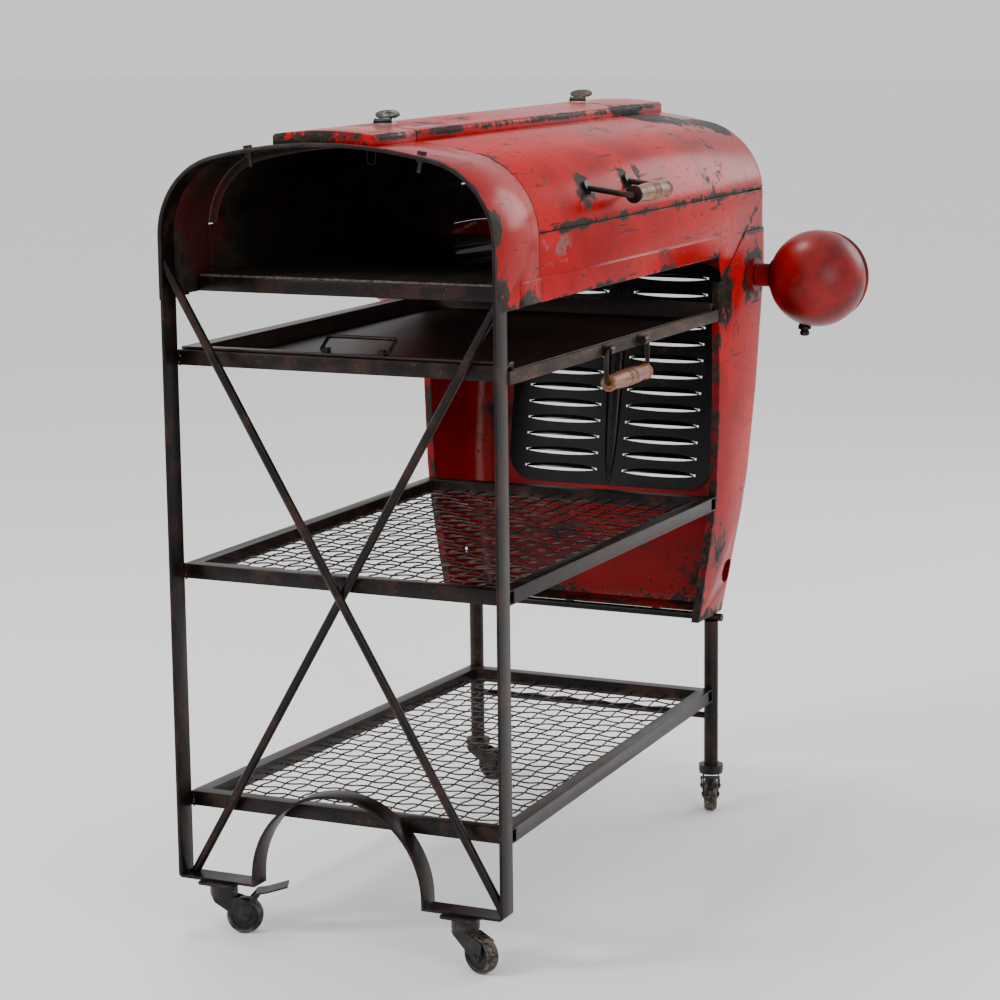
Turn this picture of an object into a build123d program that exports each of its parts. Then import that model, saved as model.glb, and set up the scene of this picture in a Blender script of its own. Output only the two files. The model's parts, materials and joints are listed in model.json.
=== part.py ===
"""Serving trolley built from a tractor bonnet, its grille nose and a welded steel frame.

Millimetres. +Z is up and the ground is z = 0. The open front faces -Y, the grille nose
and the two headlamps face +Y, and the drawer and the lid handle are on the +X side.
Each sub-part has its own function; the table at the end names and writes every part.
"""
import os
from math import atan, cos, degrees, hypot, radians, sin, sqrt, tan

from build123d import *

# ---------------------------------------------------------------- driving dimensions
DEPTH_MIDDLE = 484.4      # depth that becomes y = 0 when the parts are written

# bonnet sheet and its cross-section
HOOD_HALF = 246.0
HOOD_LENGTH = 985.0
HOOD_LOW = 866.0
SKIN = 1.5
CORNER_R = 110.0
CORNER_Z = 949.0
CROWN_TURN = radians(13.6)
REAR_ROUND = 38.0
SEAM_Y = 128.0
SEAM_Z = 955.0
SEAM_GAP = 1.5
SWAGE_TOP = 900.0
SWAGE_START = 70.0
SWAGE_OUT = 3.5
SIDE_EDGE = [(767.0, HOOD_LOW), (780.0, 830.0), (830.0, 862.0), (878.0, 896.0)]
NOSE_TOP_GAP = 0.6
LID_RIB = 12.0
CORNER_X = HOOD_HALF - CORNER_R
CENTRE_GAP = CORNER_X / sin(CROWN_TURN)
CROWN_R = CENTRE_GAP + CORNER_R
CROWN_Z = CORNER_Z - CENTRE_GAP * cos(CROWN_TURN)

# raised strip along the crown
STRIP_HALF = 73.0
STRIP_EDGE_Z = 1085.0
STRIP_TOP = 1090.0
STRIP_FRONT = 8.0
STRIP_REAR = 968.0
STRIP_WALL = 2.0
STRIP_ROUND = 5.0
STRIP_SLOPE = 8.0
STRIP_HOLE = (47.0, 174.0, 9.0)

# flat-bar hoop at the front
BAR = 4.0
BAR_DEPTH = 33.0
FOOT_Z = 75.0
FOOT_ROUND = 6.0
ARCH_R = 130.0
ARCH_Z = 86.0
HOOP_OUT = HOOD_HALF - SKIN
HOOP_IN = HOOP_OUT - BAR

# crossed brace rods, bonnet bolts
BRACE_DIA = 12.0
BRACE_A = ((-233.0, 895.0), (238.0, 90.0), 10.0)
BRACE_B = ((242.0, 884.0), (-226.0, 87.0), 22.0)
BOLT_X = (-117.0, 135.0)
BOLT_Y = 20.0
BOLT_DIA = 6.0
BOLT_DROP = 24.0

# square-tube levels and woven mesh
TUBE = 20.0
TUBE_WALL = 2.0
LOWER_TOP = 189.0
LOWER_FRONT_HALF = 241.0
LOWER_REAR_HALF = 209.0
LOWER_REAR = 841.0
MIDDLE_TOP = 506.0
LEVEL_HALF = 242.0
RUNNER_TOP = 796.0
FLOOR_TOP = 888.0
FLOOR_FRONT = 100.0
FLOOR_REAR = 760.0
NOSE_FRONT = 768.0
MESH_PITCH = 27.0
MESH_WIRE = 2.0
MESH_CLEAR = 0.02
MESH_RISE = 5.0
BOARD = 3.0
BOARD_PITCH = 77.0
BOARD_SEAM = -212.0
BOARD_GAP = 0.8

# grille nose: height, half-width, rear depth; flat and raked between RAKE_LOW and RAKE_HIGH
NOSE_LOW = 309.0
RAKE_LOW = (465.0, 921.0)
RAKE_HIGH = (836.0, 991.5)
RAKE_SLOPE = (RAKE_HIGH[1] - RAKE_LOW[1]) / (RAKE_HIGH[0] - RAKE_LOW[0])
NOSE_RAKE = atan(RAKE_SLOPE)
NOSE_LEVELS = [(NOSE_LOW, 213.5, 900.0), (345.0, 219.0, 906.0), (394.0, 227.0, 910.0),
               (RAKE_LOW[0], 237.5, RAKE_LOW[1]),
               (527.0, 243.0, RAKE_LOW[1] + RAKE_SLOPE * (527.0 - RAKE_LOW[0])),
               (655.0, 247.0, RAKE_LOW[1] + RAKE_SLOPE * (655.0 - RAKE_LOW[0])),
               (RAKE_HIGH[0], 247.0, RAKE_HIGH[1]), (905.0, 247.0, 989.0)]
NOSE_SKIN = 2.0
NOSE_CORNER = 40.0
NOSE_FLANGE = 12.0
NOSE_LIP = 845.0
NOSE_HOLE = (861.0, 374.0, 36.0)
NOSE_HOLE_LEFT = 10.0
GRILLE_LOW = 483.0
GRILLE_HALF = 175.0
GRILLE_LENGTH = 356.0
GRILLE_PLATE = 2.5
GRILLE_ROUND = 45.0
GRILLE_MARGIN = 14.0
SLOT_ROWS = 13
SLOT_PITCH = 25.3
SLOT_FIRST = 24.0
SLOT_X = 84.0
SLOT_HALF = 61.0
SLOT_RISE = 5.5
SLOT_DOT = 4.0
BOTTOM_BAR_DIA = 12.0
BOTTOM_BAR_Z = 301.0
BOTTOM_BAR_HALF = 220.0
TAB_X = (-37.0, 110.0)

# rear legs
LEG_X = 202.0
LEG_Y = 852.0
LEG_DIA = 22.0
LEG_BORE = 18.0
LEG_LOW = 66.0
CROSS_ROD_DIA = 10.0
CROSS_ROD_Z = 143.0

# drawer tray
PAN_LEFT = -219.0
PAN_RIGHT = 242.4
PAN_FRONT = 54.0
PAN_REAR = 747.0
PAN_LOW = 776.0
RIM_TOP = 800.0
RIM_LEFT = -240.0
RIM_FRONT = 42.0
RIM_REAR = 760.0
RIM_DROP = 3.5
RIM_HEM = 2.0
PAN_SIDE_TOP = 790.0
FACE_BAR = 4.0
FACE_Y = (38.0, 766.0)
FACE_Z = (772.0, 789.0)
FACE_OUT = PAN_RIGHT + FACE_BAR

# drawer handle
PULL_X = FACE_OUT + 7.5
PULL_Z = 780.5
PULL_ARMS = (326.0, 471.0)
PULL_DROP = 44.5
PULL_DIA = 6.5
PULL_EYE_DIA = 12.0
PULL_EYE = 12.0
PULL_PATCH = (2.0, 16.0, 15.0)
PULL_BEND = 5.0

# small lift bail on the tray rim
BAIL_X = (-31.0, 69.0)
BAIL_Y = 46.0
BAIL_Z = 803.0
BAIL_LENGTH = 29.0
BAIL_LEAN = radians(56.0)
BAIL_DIA = 5.0
BAIL_EYE = (8.0, 9.0, 7.5)

# lid handle
HANDLE_Y = (310.0, 449.0)
HANDLE_Z = 1001.0
HANDLE_DROP = 8.0
HANDLE_X = 296.0
HANDLE_DIA = 8.0
HANDLE_PAD_DIA = 20.0
HANDLE_PAD = 4.5
FERRULE_DIA = 24.0
FERRULE = 3.0

# lid hinges
HINGE_X = -250.5
HINGE_Z = SEAM_Z + 1.0
HINGE_Y = (220.0, 520.0, 800.0)
HINGE_LENGTH = 60.0
HINGE_KNUCKLE = 8.0
HINGE_PIN = 4.0
HINGE_LEAF = 2.5
HINGE_WIDTH = 27.0
HINGE_CLEAR = 4.5

# thumb catches on the strip
CATCH_AT = [(4.0, 170.0), (-8.0, 833.0)]
CATCH_PIN_Z = 1094.5
CATCH_PIN = 3.0
CATCH_LEAN = 52.0
CATCH_EAR = 3.8
CATCH_BASE = (30.0, 16.0, 1.2)
CATCH_OVAL = (18.0, 8.4)

# headlamps
LAMP_X = 349.5
LAMP_Y = 912.0
LAMP_Z = 825.0
LAMP_R = 73.0
LAMP_SHEET = 1.5
LAMP_FACE = 34.0
LAMP_RIM_R = 69.0
LAMP_RIM = 12.0
LAMP_GLASS_R = 60.0
LAMP_DOME_R = 150.0
LAMP_DOME = 52.0
LAMP_GLASS = 3.0
STUB_Y = 906.0
STUB_Z = 828.0
STUB_DIA = 35.0
STUB_START = 255.3
STUB_END = 292.0
BOSS_DIA = 50.0
BOSS_END = 255.0
SPIGOT_DIA = 16.0
SPIGOT_END = 269.0
GLAND_X = 330.0
GLAND_DIA = 20.0
GLAND_LOW = 737.0
GLAND_TOP = 760.0

# casters: name, swivel x, swivel y, heading of the trail in degrees, brake
CASTERS = [("front_right", 183.0, 16.0, -18.0, False), ("front_left", -183.0, 16.0, 25.0, True),
           ("rear_right", LEG_X, LEG_Y, -70.0, True), ("rear_left", -LEG_X, LEG_Y, 0.0, False)]
WHEEL_R = 25.0
WHEEL_HALF = 10.0
TRAIL = 28.0
AXLE_DIA = 6.0
AXLE_HALF = 14.0
STEM_DIA = 10.0
STEM_TOP = 70.0
CROWN_LOW = 52.3
CROWN_TOP = 55.7
CROWN_DIA = 36.0
MOUNT_LOW = 56.0
MOUNT_DIA = 38.0
PLATE = 3.0
PLATE_SIDE = 54.0
FORK_GAP = 0.5
FORK_SHEET = 2.0
FORK_SIDE = [(-15.0, CROWN_LOW), (16.0, CROWN_LOW), (39.0, 44.0), (39.0, 36.0), (34.0, 21.0),
             (28.0, 18.0), (22.0, 21.0), (-12.0, 46.0)]
BRAKE_PIN = (34.0, 41.0)
BRAKE_PIN_DIA = 5.0
BRAKE_EAR = [(29.0, 41.0), (34.0, 35.5), (40.0, 41.0), (50.0, 56.0), (50.0, 60.0), (44.0, 58.0)]
BRAKE_TREAD = [(44.0, 56.0), (60.0, 58.5), (88.0, 66.0), (88.0, 68.5), (60.0, 61.0), (44.0, 58.5)]

FIT = 0.05                # radial play of everything that turns on a pin
SIDE_PLAY = 0.4           # end play between turning parts


# ---------------------------------------------------------------- small helpers
def box(x0, x1, y0, y1, z0, z1):
    """Block between two opposite corners."""
    middle = Pos((x0 + x1) / 2, (y0 + y1) / 2, (z0 + z1) / 2)
    return middle * Box(x1 - x0, y1 - y0, z1 - z0)


def rod(start, end, dia):
    """Round bar with flat ends between two points."""
    run = Vector(*end) - Vector(*start)
    return extrude(Plane(origin=start, z_dir=run) * Circle(dia / 2), amount=run.length)


def prism(points, run):
    """Flat polygon of 3-D points pushed along the vector run."""
    return Solid.extrude(Face(Wire.make_polygon(points, close=True)), Vector(*run))


def bent_path(points, radius):
    """Line through the points with every inner corner rounded."""
    knots = [Vector(*point) for point in points]
    edges = []
    last = knots[0]
    for before, corner, after in zip(knots, knots[1:], knots[2:]):
        back = (before - corner).normalized()
        ahead = (after - corner).normalized()
        half = radians(back.get_angle(ahead)) / 2
        reach = radius / tan(half)
        enter = corner + back * reach
        leave = corner + ahead * reach
        middle = corner + (back + ahead).normalized() * (radius / sin(half) - radius)
        edges.append(Edge.make_line(last, enter))
        edges.append(Edge.make_three_point_arc(enter, middle, leave))
        last = leave
    edges.append(Edge.make_line(last, knots[-1]))
    return Wire(edges)


def bent_rod(points, dia, radius):
    """Round bar bent along the points."""
    path = bent_path(points, radius)
    return sweep(Plane(origin=path @ 0, z_dir=path % 0) * Circle(dia / 2), path=path)


def turned(profile, x, z):
    """Lathe work about a line along Y through (x, z); the profile is (radius, y)."""
    face = Face(Wire.make_polygon([(radius, y, 0) for radius, y in profile], close=True))
    return Pos(x, 0, z) * revolve(face, Axis.Y, 360)


# ---------------------------------------------------------------- bonnet
def arch_face(inset, low):
    """Bonnet cross-section shrunk by inset, closed by a straight line at height low."""
    half = HOOD_HALF - inset
    corner_r = CORNER_R - inset
    crown_top = (0, 0, CROWN_Z + CROWN_R - inset)
    turns = (radians(90) - CROWN_TURN) / 2

    def on_corner(side, angle):
        return (side * (CORNER_X + corner_r * cos(angle)), 0, CORNER_Z + corner_r * sin(angle))

    right = [on_corner(1, turns * step) for step in range(3)]
    left = [on_corner(-1, turns * step) for step in (2, 1, 0)]
    return Face(Wire([
        Edge.make_line((half, 0, low), right[0]), Edge.make_three_point_arc(*right),
        Edge.make_three_point_arc(right[2], crown_top, left[0]),
        Edge.make_three_point_arc(*left), Edge.make_line(left[2], (-half, 0, low)),
        Edge.make_line((-half, 0, low), (half, 0, low))]))


def hood_block(inset, low):
    """Solid bonnet shape with its rounded rear end."""
    block = extrude(arch_face(inset, low), amount=HOOD_LENGTH - inset, dir=(0, 1, 0))
    rear = block.edges().group_by(Axis.Y)[-1].sort_by(Axis.Z)[1:]
    return fillet(rear, radius=REAR_ROUND - inset)


def hood_shell():
    """Whole bonnet as one sheet, open at the front and below."""
    return hood_block(0, SIDE_EDGE[1][1]) - hood_block(SKIN, SIDE_EDGE[1][1] - 1)


def swage(side):
    """Pressed band along the lower edge of one side."""
    outer = box(HOOP_OUT, HOOD_HALF + SWAGE_OUT, SWAGE_START, SIDE_EDGE[0][0], HOOD_LOW, SWAGE_TOP)
    outer = chamfer(outer.edges().group_by(Axis.X)[-1], length=SWAGE_OUT - 0.5)
    inner = box(HOOP_OUT - 1, HOOD_HALF + SWAGE_OUT - SKIN, SWAGE_START + SWAGE_OUT,
                SIDE_EDGE[0][0] - SWAGE_OUT, HOOD_LOW - 1, SWAGE_TOP - SWAGE_OUT)
    return (outer, inner) if side > 0 else (mirror(outer, Plane.YZ), mirror(inner, Plane.YZ))


def hood_side(side):
    """Fixed side sheet below the lid, with its swage and its shaped rear edge."""
    outline = [(SEAM_Y, HOOD_LOW)] + SIDE_EDGE
    outline += [(HOOD_LENGTH + 1, SIDE_EDGE[-1][1]), (HOOD_LENGTH + 1, SEAM_Z), (SEAM_Y, SEAM_Z)]
    window = prism([(0, y, z) for y, z in outline], (side * (HOOD_HALF + 1), 0, 0))
    band, hollow = swage(side)
    strip = band & box(-2 * HOOD_HALF, 2 * HOOD_HALF, SEAM_Y, HOOD_LENGTH, HOOD_LOW, SWAGE_TOP)
    return (hood_shell() & window) + strip - hollow


def hood_front_panel():
    """Fixed front hoop of the bonnet, drilled for the two bolts."""
    keep = box(-HOOD_HALF, HOOD_HALF, 0, SEAM_Y, HOOD_LOW, STRIP_TOP)
    panel = hood_shell() & keep
    for side in (-1, 1):
        band, hollow = swage(side)
        near = band & box(-2 * HOOD_HALF, 2 * HOOD_HALF, 0, SEAM_Y, HOOD_LOW, SWAGE_TOP)
        panel = panel + near - hollow
    for x in BOLT_X:
        panel -= bolt_shank(x, BOLT_DIA + 4 * FIT)
    return panel


def lid_skin():
    """Opening rear part of the bonnet with a stiffening rib inside its front edge."""
    start = SEAM_Y + SEAM_GAP
    low = SEAM_Z + 2.0
    keep = box(-HOOD_HALF, HOOD_HALF, start, HOOD_LENGTH, low, STRIP_TOP)
    rib = extrude(arch_face(SKIN, low) - arch_face(SKIN + LID_RIB, low - 1), SKIN, dir=(0, 1, 0))
    return (hood_shell() & keep) + Pos(0, start, 0) * rib


def strip_block(inset, start, end):
    """Solid raised strip, deep enough to reach into the bonnet."""
    half = STRIP_HALF - inset
    low = STRIP_EDGE_Z - REAR_ROUND
    right = (half, start, STRIP_EDGE_Z - inset)
    left = (-half, start, STRIP_EDGE_Z - inset)
    face = Face(Wire([
        Edge.make_line((half, start, low), right),
        Edge.make_three_point_arc(right, (0, start, STRIP_TOP - inset), left),
        Edge.make_line(left, (-half, start, low)),
        Edge.make_line((-half, start, low), (half, start, low))]))
    block = extrude(face, amount=end - start, dir=(0, 1, 0))
    edges = [edge for edge in block.edges().filter_by(Axis.Y) if edge.center().Z > STRIP_TOP - 10]
    return fillet(edges, radius=STRIP_ROUND)


def top_strip(start, end, rear_wall):
    """Hollow strip between two depths, closed at its outer end and trimmed to the bonnet."""
    solid = strip_block(0, start, end)
    if rear_wall:
        tip = [(-STRIP_HALF, end - STRIP_SLOPE, STRIP_TOP), (-STRIP_HALF, end, STRIP_TOP),
               (-STRIP_HALF, end, STRIP_TOP - STRIP_SLOPE)]
        solid -= prism(tip, (2 * STRIP_HALF, 0, 0))
    cavity_start = start - 1 if rear_wall else start + STRIP_WALL
    cavity_end = end - STRIP_SLOPE if rear_wall else end + 1
    hollow = strip_block(STRIP_WALL, cavity_start, cavity_end)
    return solid - hollow - hood_block(0, HOOD_LOW)


def top_strip_rear():
    """Strip on the lid, with its small oval hole."""
    x, y, dia = STRIP_HOLE
    strip = top_strip(SEAM_Y + SEAM_GAP, STRIP_REAR, True)
    return strip - rod((x, y, STRIP_EDGE_Z - 10), (x, y, STRIP_TOP + 5), dia)


def bolt_line(x):
    """Point on the bonnet above x and the outward direction there."""
    lean = sqrt(CROWN_R ** 2 - x ** 2)
    return Vector(x, BOLT_Y, CROWN_Z + lean), Vector(x, 0, lean).normalized()


def bolt_shank(x, dia):
    """Straight shank along the bolt line."""
    top, out = bolt_line(x)
    return rod(top - out * BOLT_DROP, top + out, dia)


def hood_bolts():
    """Bolts that hold the bonnet to the hoop: head outside, nut inside."""
    bolts = []
    for x in BOLT_X:
        top, out = bolt_line(x)
        under = top - out * (SKIN + BAR)
        head = rod(top, top + out * 4, 2 * BOLT_DIA)
        nut = rod(under - out * 5, under, 1.8 * BOLT_DIA)
        bolts.append(bolt_shank(x, BOLT_DIA) + head + nut)
    return Compound(bolts)


# ---------------------------------------------------------------- frame
def hoop_frame():
    """Flat bar bent round under the bonnet, down both sides and over the foot arch."""
    outside = extrude(arch_face(SKIN, FOOT_Z), amount=BAR_DEPTH, dir=(0, 1, 0))
    outside = fillet(outside.edges().filter_by(Axis.Y).group_by(Axis.Z)[0], radius=FOOT_ROUND)
    inside = extrude(arch_face(SKIN + BAR, FOOT_Z + BAR), amount=BAR_DEPTH, dir=(0, 1, 0))
    opening = box(BAR - ARCH_R, ARCH_R - BAR, 0, BAR_DEPTH, FOOT_Z, FOOT_Z + BAR)
    arch = rod((0, 0, ARCH_Z), (0, BAR_DEPTH, ARCH_Z), 2 * ARCH_R)
    arch += box(-ARCH_R, ARCH_R, 0, BAR_DEPTH, FOOT_Z, ARCH_Z)
    void = rod((0, 0, ARCH_Z), (0, BAR_DEPTH, ARCH_Z), 2 * (ARCH_R - BAR))
    void += box(BAR - ARCH_R, ARCH_R - BAR, 0, BAR_DEPTH, FOOT_Z - ARCH_R, ARCH_Z)
    above = box(-ARCH_R, ARCH_R, 0, BAR_DEPTH, FOOT_Z, ARCH_Z + ARCH_R)
    hoop = outside - inside - opening + ((arch - void) & above)
    for x in BOLT_X:
        hoop -= bolt_shank(x, BOLT_DIA + 4 * FIT)
    return hoop


def brace_rods():
    """Two crossed rods between the posts, one just behind the other."""
    between = box(-HOOP_IN, HOOP_IN, 0, BAR_DEPTH, FOOT_Z + BAR, HOOD_LENGTH)
    rods = []
    for (x0, z0), (x1, z1), y in (BRACE_A, BRACE_B):
        spare = Vector(x1 - x0, 0, z1 - z0) * 0.05
        start = Vector(x0, y, z0) - spare
        rods.append(rod(start, Vector(x1, y, z1) + spare, BRACE_DIA) & between)
    return Compound([piece.solids()[0] for piece in rods])


def tube(start, end):
    """Square tube on a level centre line."""
    run = Vector(*end) - Vector(*start)
    bore = TUBE - 2 * TUBE_WALL
    section = Rectangle(TUBE, TUBE) - Rectangle(bore, bore)
    return extrude(Plane(origin=start, x_dir=(0, 0, 1), z_dir=run) * section, amount=run.length)


def level_frame(top, front, rear, front_half, rear_half, sides):
    """Welded ring of square tube; sides lists which side tubes are present."""
    z = top - TUBE / 2
    half = TUBE / 2
    frame = tube((-front_half, front + half, z), (front_half, front + half, z))
    frame += tube((-rear_half, rear - half, z), (rear_half, rear - half, z))
    inside = box(-HOOD_HALF, HOOD_HALF, front + TUBE, rear - TUBE, top - TUBE, top)
    for side in sides:
        start = (side * (front_half - half), front + TUBE - half, z)
        end = (side * (rear_half - half), rear - TUBE + half, z)
        frame += tube(start, end) & inside
    return frame


def woven_mesh(top, front, rear, front_half, rear_half):
    """Crossing wires inside a level frame, one layer resting on the other."""
    z = top - TUBE + MESH_RISE
    y0, y1 = front + TUBE, rear - TUBE
    wide = front_half - TUBE - MESH_CLEAR
    taper = (front_half - rear_half) / (y1 - y0 + TUBE)
    narrow = wide - taper * (y1 - y0 + TUBE / 2)
    wires = []
    columns = int(wide // MESH_PITCH)
    for column in range(-columns, columns + 1):
        x = column * MESH_PITCH
        edge = abs(x) + MESH_WIRE / 2
        end = y1 if edge <= narrow else y0 - TUBE / 2 + (wide - edge) / taper
        wires.append(rod((x, y0, z), (x, end, z), MESH_WIRE))
    for row in range(1, int((y1 - y0) // MESH_PITCH) + 1):
        y = y0 + row * MESH_PITCH
        half = wide - taper * (y + MESH_WIRE / 2 - y0 + TUBE / 2)
        wires.append(rod((-half, y, z + MESH_WIRE), (half, y, z + MESH_WIRE), MESH_WIRE))
    return Compound([wire.solids()[0] for wire in wires])


def hood_floor_boards():
    """Thin boards laid lengthwise on the floor frame under the bonnet."""
    edges = [-HOOP_OUT]
    seam = BOARD_SEAM
    while seam < HOOP_OUT - BOARD_PITCH / 2:
        edges.append(seam)
        seam += BOARD_PITCH
    edges.append(HOOP_OUT)
    boards = []
    for left, right in zip(edges, edges[1:]):
        boards.append(box(left + BOARD_GAP / 2, right - BOARD_GAP / 2, FLOOR_FRONT, FLOOR_REAR,
                          FLOOR_TOP, FLOOR_TOP + BOARD))
    return Compound([board.solids()[0] for board in boards])


# ---------------------------------------------------------------- grille nose
def nose_section(z, half, rear, inset, front):
    """Level outline of the nose with rounded rear corners."""
    x, y, r = half - inset, rear - inset, NOSE_CORNER - inset
    bow = r * (1 - sqrt(0.5))
    return Wire([
        Edge.make_line((-x, front, z), (x, front, z)), Edge.make_line((x, front, z), (x, y - r, z)),
        Edge.make_three_point_arc((x, y - r, z), (x - bow, y - bow, z), (x - r, y, z)),
        Edge.make_line((x - r, y, z), (r - x, y, z)),
        Edge.make_three_point_arc((r - x, y, z), (bow - x, y - bow, z), (-x, y - r, z)),
        Edge.make_line((-x, y - r, z), (-x, front, z))])


def nose_block(inset, front):
    """Solid nose shape shrunk by inset."""
    wires = [nose_section(z, half, rear, inset, front) for z, half, rear in NOSE_LEVELS]
    return Solid.make_loft(wires, ruled=True)


def nose_shell():
    """Nose sheet with front flanges, bottom lip, grille opening and side holes."""
    wide = HOOD_HALF + 5
    full = nose_block(0, NOSE_FRONT)
    sheet = full - nose_block(NOSE_SKIN, NOSE_FRONT - 1)
    front_edge = box(-wide, wide, NOSE_FRONT, NOSE_FRONT + NOSE_SKIN, NOSE_LOW, SEAM_Z)
    sheet += (full & front_edge) - nose_block(NOSE_FLANGE, NOSE_FRONT - 1)
    lip = box(-wide, wide, NOSE_LIP, HOOD_LENGTH, NOSE_LOW, NOSE_LOW + NOSE_SKIN)
    sheet += full & lip
    top = [(y, z - NOSE_TOP_GAP) for y, z in SIDE_EDGE[1:]]
    top = [(NOSE_FRONT - 5, top[0][1])] + top + [(HOOD_LENGTH + 20, top[-1][1])]
    top += [(HOOD_LENGTH + 20, SEAM_Z), (NOSE_FRONT - 5, SEAM_Z)]
    sheet -= prism([(-wide, y, z) for y, z in top], (2 * wide, 0, 0))
    plane = grille_plane()
    sheet -= extrude(plane * grille_outline(GRILLE_MARGIN), amount=2 * NOSE_SKIN, both=True)
    y, z, dia = NOSE_HOLE
    sheet -= rod((-wide, y, z), (0, y, z), NOSE_HOLE_LEFT)
    return sheet - rod((0, y, z), (wide, y, z), dia)


def grille_plane():
    """Inner face of the raked rear wall, drawn from the foot of the grille upwards."""
    foot = RAKE_LOW[1] - NOSE_SKIN + (GRILLE_LOW - RAKE_LOW[0]) * RAKE_SLOPE
    inward = (0, -cos(NOSE_RAKE), sin(NOSE_RAKE))
    return Plane(origin=(0, foot, GRILLE_LOW), x_dir=(1, 0, 0), z_dir=inward)


def grille_outline(margin):
    """Rounded rectangle of the grille, shrunk by margin."""
    size = (2 * (GRILLE_HALF - margin), GRILLE_LENGTH - 2 * margin)
    return Pos(0, GRILLE_LENGTH / 2) * RectangleRounded(*size, GRILLE_ROUND - margin)


def grille_panel():
    """Plate with two columns of lens-shaped slots, each ending in two small round holes."""
    plate = grille_outline(0)
    for row in range(SLOT_ROWS):
        height = SLOT_FIRST + row * SLOT_PITCH / cos(NOSE_RAKE)
        for side in (-1, 1):
            plate -= Pos(side * SLOT_X, height) * Ellipse(SLOT_HALF, SLOT_RISE)
            for end in (-SLOT_HALF, SLOT_HALF):
                plate -= Pos(side * SLOT_X + end, height) * Circle(SLOT_DOT / 2)
    return extrude(grille_plane() * plate, amount=GRILLE_PLATE)


def nose_bottom_bar():
    """Round bar under the nose with two spacer tabs."""
    bar = rod((-BOTTOM_BAR_HALF, LEG_Y, BOTTOM_BAR_Z), (BOTTOM_BAR_HALF, LEG_Y, BOTTOM_BAR_Z),
              BOTTOM_BAR_DIA)
    for x in TAB_X:
        bar += box(x - 6, x + 6, LEG_Y - 3, LEG_Y + 3, BOTTOM_BAR_Z, NOSE_LOW)
    return bar


def rear_legs():
    """Two pipes under the nose."""
    legs = []
    for side in (-1, 1):
        low = (side * LEG_X, LEG_Y, LEG_LOW)
        top = (side * LEG_X, LEG_Y, BOTTOM_BAR_Z - BOTTOM_BAR_DIA / 2)
        legs.append((rod(low, top, LEG_DIA) - rod(low, top, LEG_BORE)).solids()[0])
    return Compound(legs)


def rear_leg_cross_rod():
    """Rod between the two rear pipes."""
    end = LEG_X - LEG_DIA / 2
    return rod((-end, LEG_Y, CROSS_ROD_Z), (end, LEG_Y, CROSS_ROD_Z), CROSS_ROD_DIA)


# ---------------------------------------------------------------- lid hinges and handle
def hinge_leaf(y, moving):
    """One hinge leaf; the fixed leaf has two outer knuckles, the moving leaf the middle one."""
    third = HINGE_LENGTH / 3
    start = y - HINGE_LENGTH / 2
    way = 1 if moving else -1
    near, far = HINGE_Z + way * HINGE_CLEAR, HINGE_Z + way * (HINGE_CLEAR + HINGE_WIDTH)
    leaf = box(-HOOD_HALF - HINGE_LEAF, -HOOD_HALF, start, start + HINGE_LENGTH,
               min(near, far), max(near, far))
    for part in ((1,) if moving else (0, 2)):
        y0 = start + part * third + SIDE_PLAY / 2
        y1 = y0 + third - SIDE_PLAY
        leaf += rod((HINGE_X, y0, HINGE_Z), (HINGE_X, y1, HINGE_Z), HINGE_KNUCKLE)
        leaf += box(-HOOD_HALF - HINGE_LEAF, -HOOD_HALF - 0.4, y0, y1,
                    min(near, HINGE_Z), max(near, HINGE_Z))
    bore = HINGE_PIN + 2 * FIT
    leaf -= rod((HINGE_X, start, HINGE_Z), (HINGE_X, start + HINGE_LENGTH, HINGE_Z), bore)
    return leaf.solids()[0]


def hinge_pins():
    """Pins through the lid hinges, with a small head at each end."""
    pins = []
    for y in HINGE_Y:
        y0, y1 = y - HINGE_LENGTH / 2 - 1.5, y + HINGE_LENGTH / 2 + 1.5
        pin = rod((HINGE_X, y0, HINGE_Z), (HINGE_X, y1, HINGE_Z), HINGE_PIN)
        pin += rod((HINGE_X, y0, HINGE_Z), (HINGE_X, y0 + 1.5, HINGE_Z), HINGE_KNUCKLE - 1)
        pin += rod((HINGE_X, y1 - 1.5, HINGE_Z), (HINGE_X, y1, HINGE_Z), HINGE_KNUCKLE - 1)
        pins.append(pin.solids()[0])
    return Compound(pins)


def handle_bar():
    """Rigid rod handle on the lid with two welded pads and a ferrule for the grip."""
    rise = HANDLE_Z - CORNER_Z
    across = sqrt(CORNER_R ** 2 - rise ** 2)
    out = Vector(across, 0, rise).normalized()
    grip_z = HANDLE_Z - HANDLE_DROP
    front, rear = HANDLE_Y
    start_x = CORNER_X + across + 3.6
    bar = bent_rod([(start_x, front, HANDLE_Z), (HANDLE_X, front, grip_z),
                    (HANDLE_X, rear, grip_z), (start_x, rear, HANDLE_Z)], HANDLE_DIA, HANDLE_DIA)
    for y in HANDLE_Y:
        foot = Vector(CORNER_X + across, y, HANDLE_Z)
        bar += rod(foot, foot + out * HANDLE_PAD, HANDLE_PAD_DIA)
    ferrule = front + 2 * HANDLE_DIA - FERRULE
    return bar + rod((HANDLE_X, ferrule, grip_z), (HANDLE_X, ferrule + FERRULE, grip_z), FERRULE_DIA)


def grip(x, z, start, end, bore):
    """Turned wooden grip: flanged ends, barrel and two grooves in the middle."""
    middle = (start + end) / 2
    third = (end - start) / 3
    profile = [(bore / 2, start), (9.0, start), (11.5, start + 2), (11.5, start + 5),
               (9.8, start + 8), (11.8, start + third), (12.4, middle - 7), (11.3, middle - 5.5),
               (12.4, middle - 4), (12.5, middle + 4), (11.3, middle + 5.5), (12.4, middle + 7),
               (11.8, end - third), (9.8, end - 8), (11.5, end - 5), (11.5, end - 2), (9.0, end),
               (bore / 2, end)]
    return turned(profile, x, z)


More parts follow.
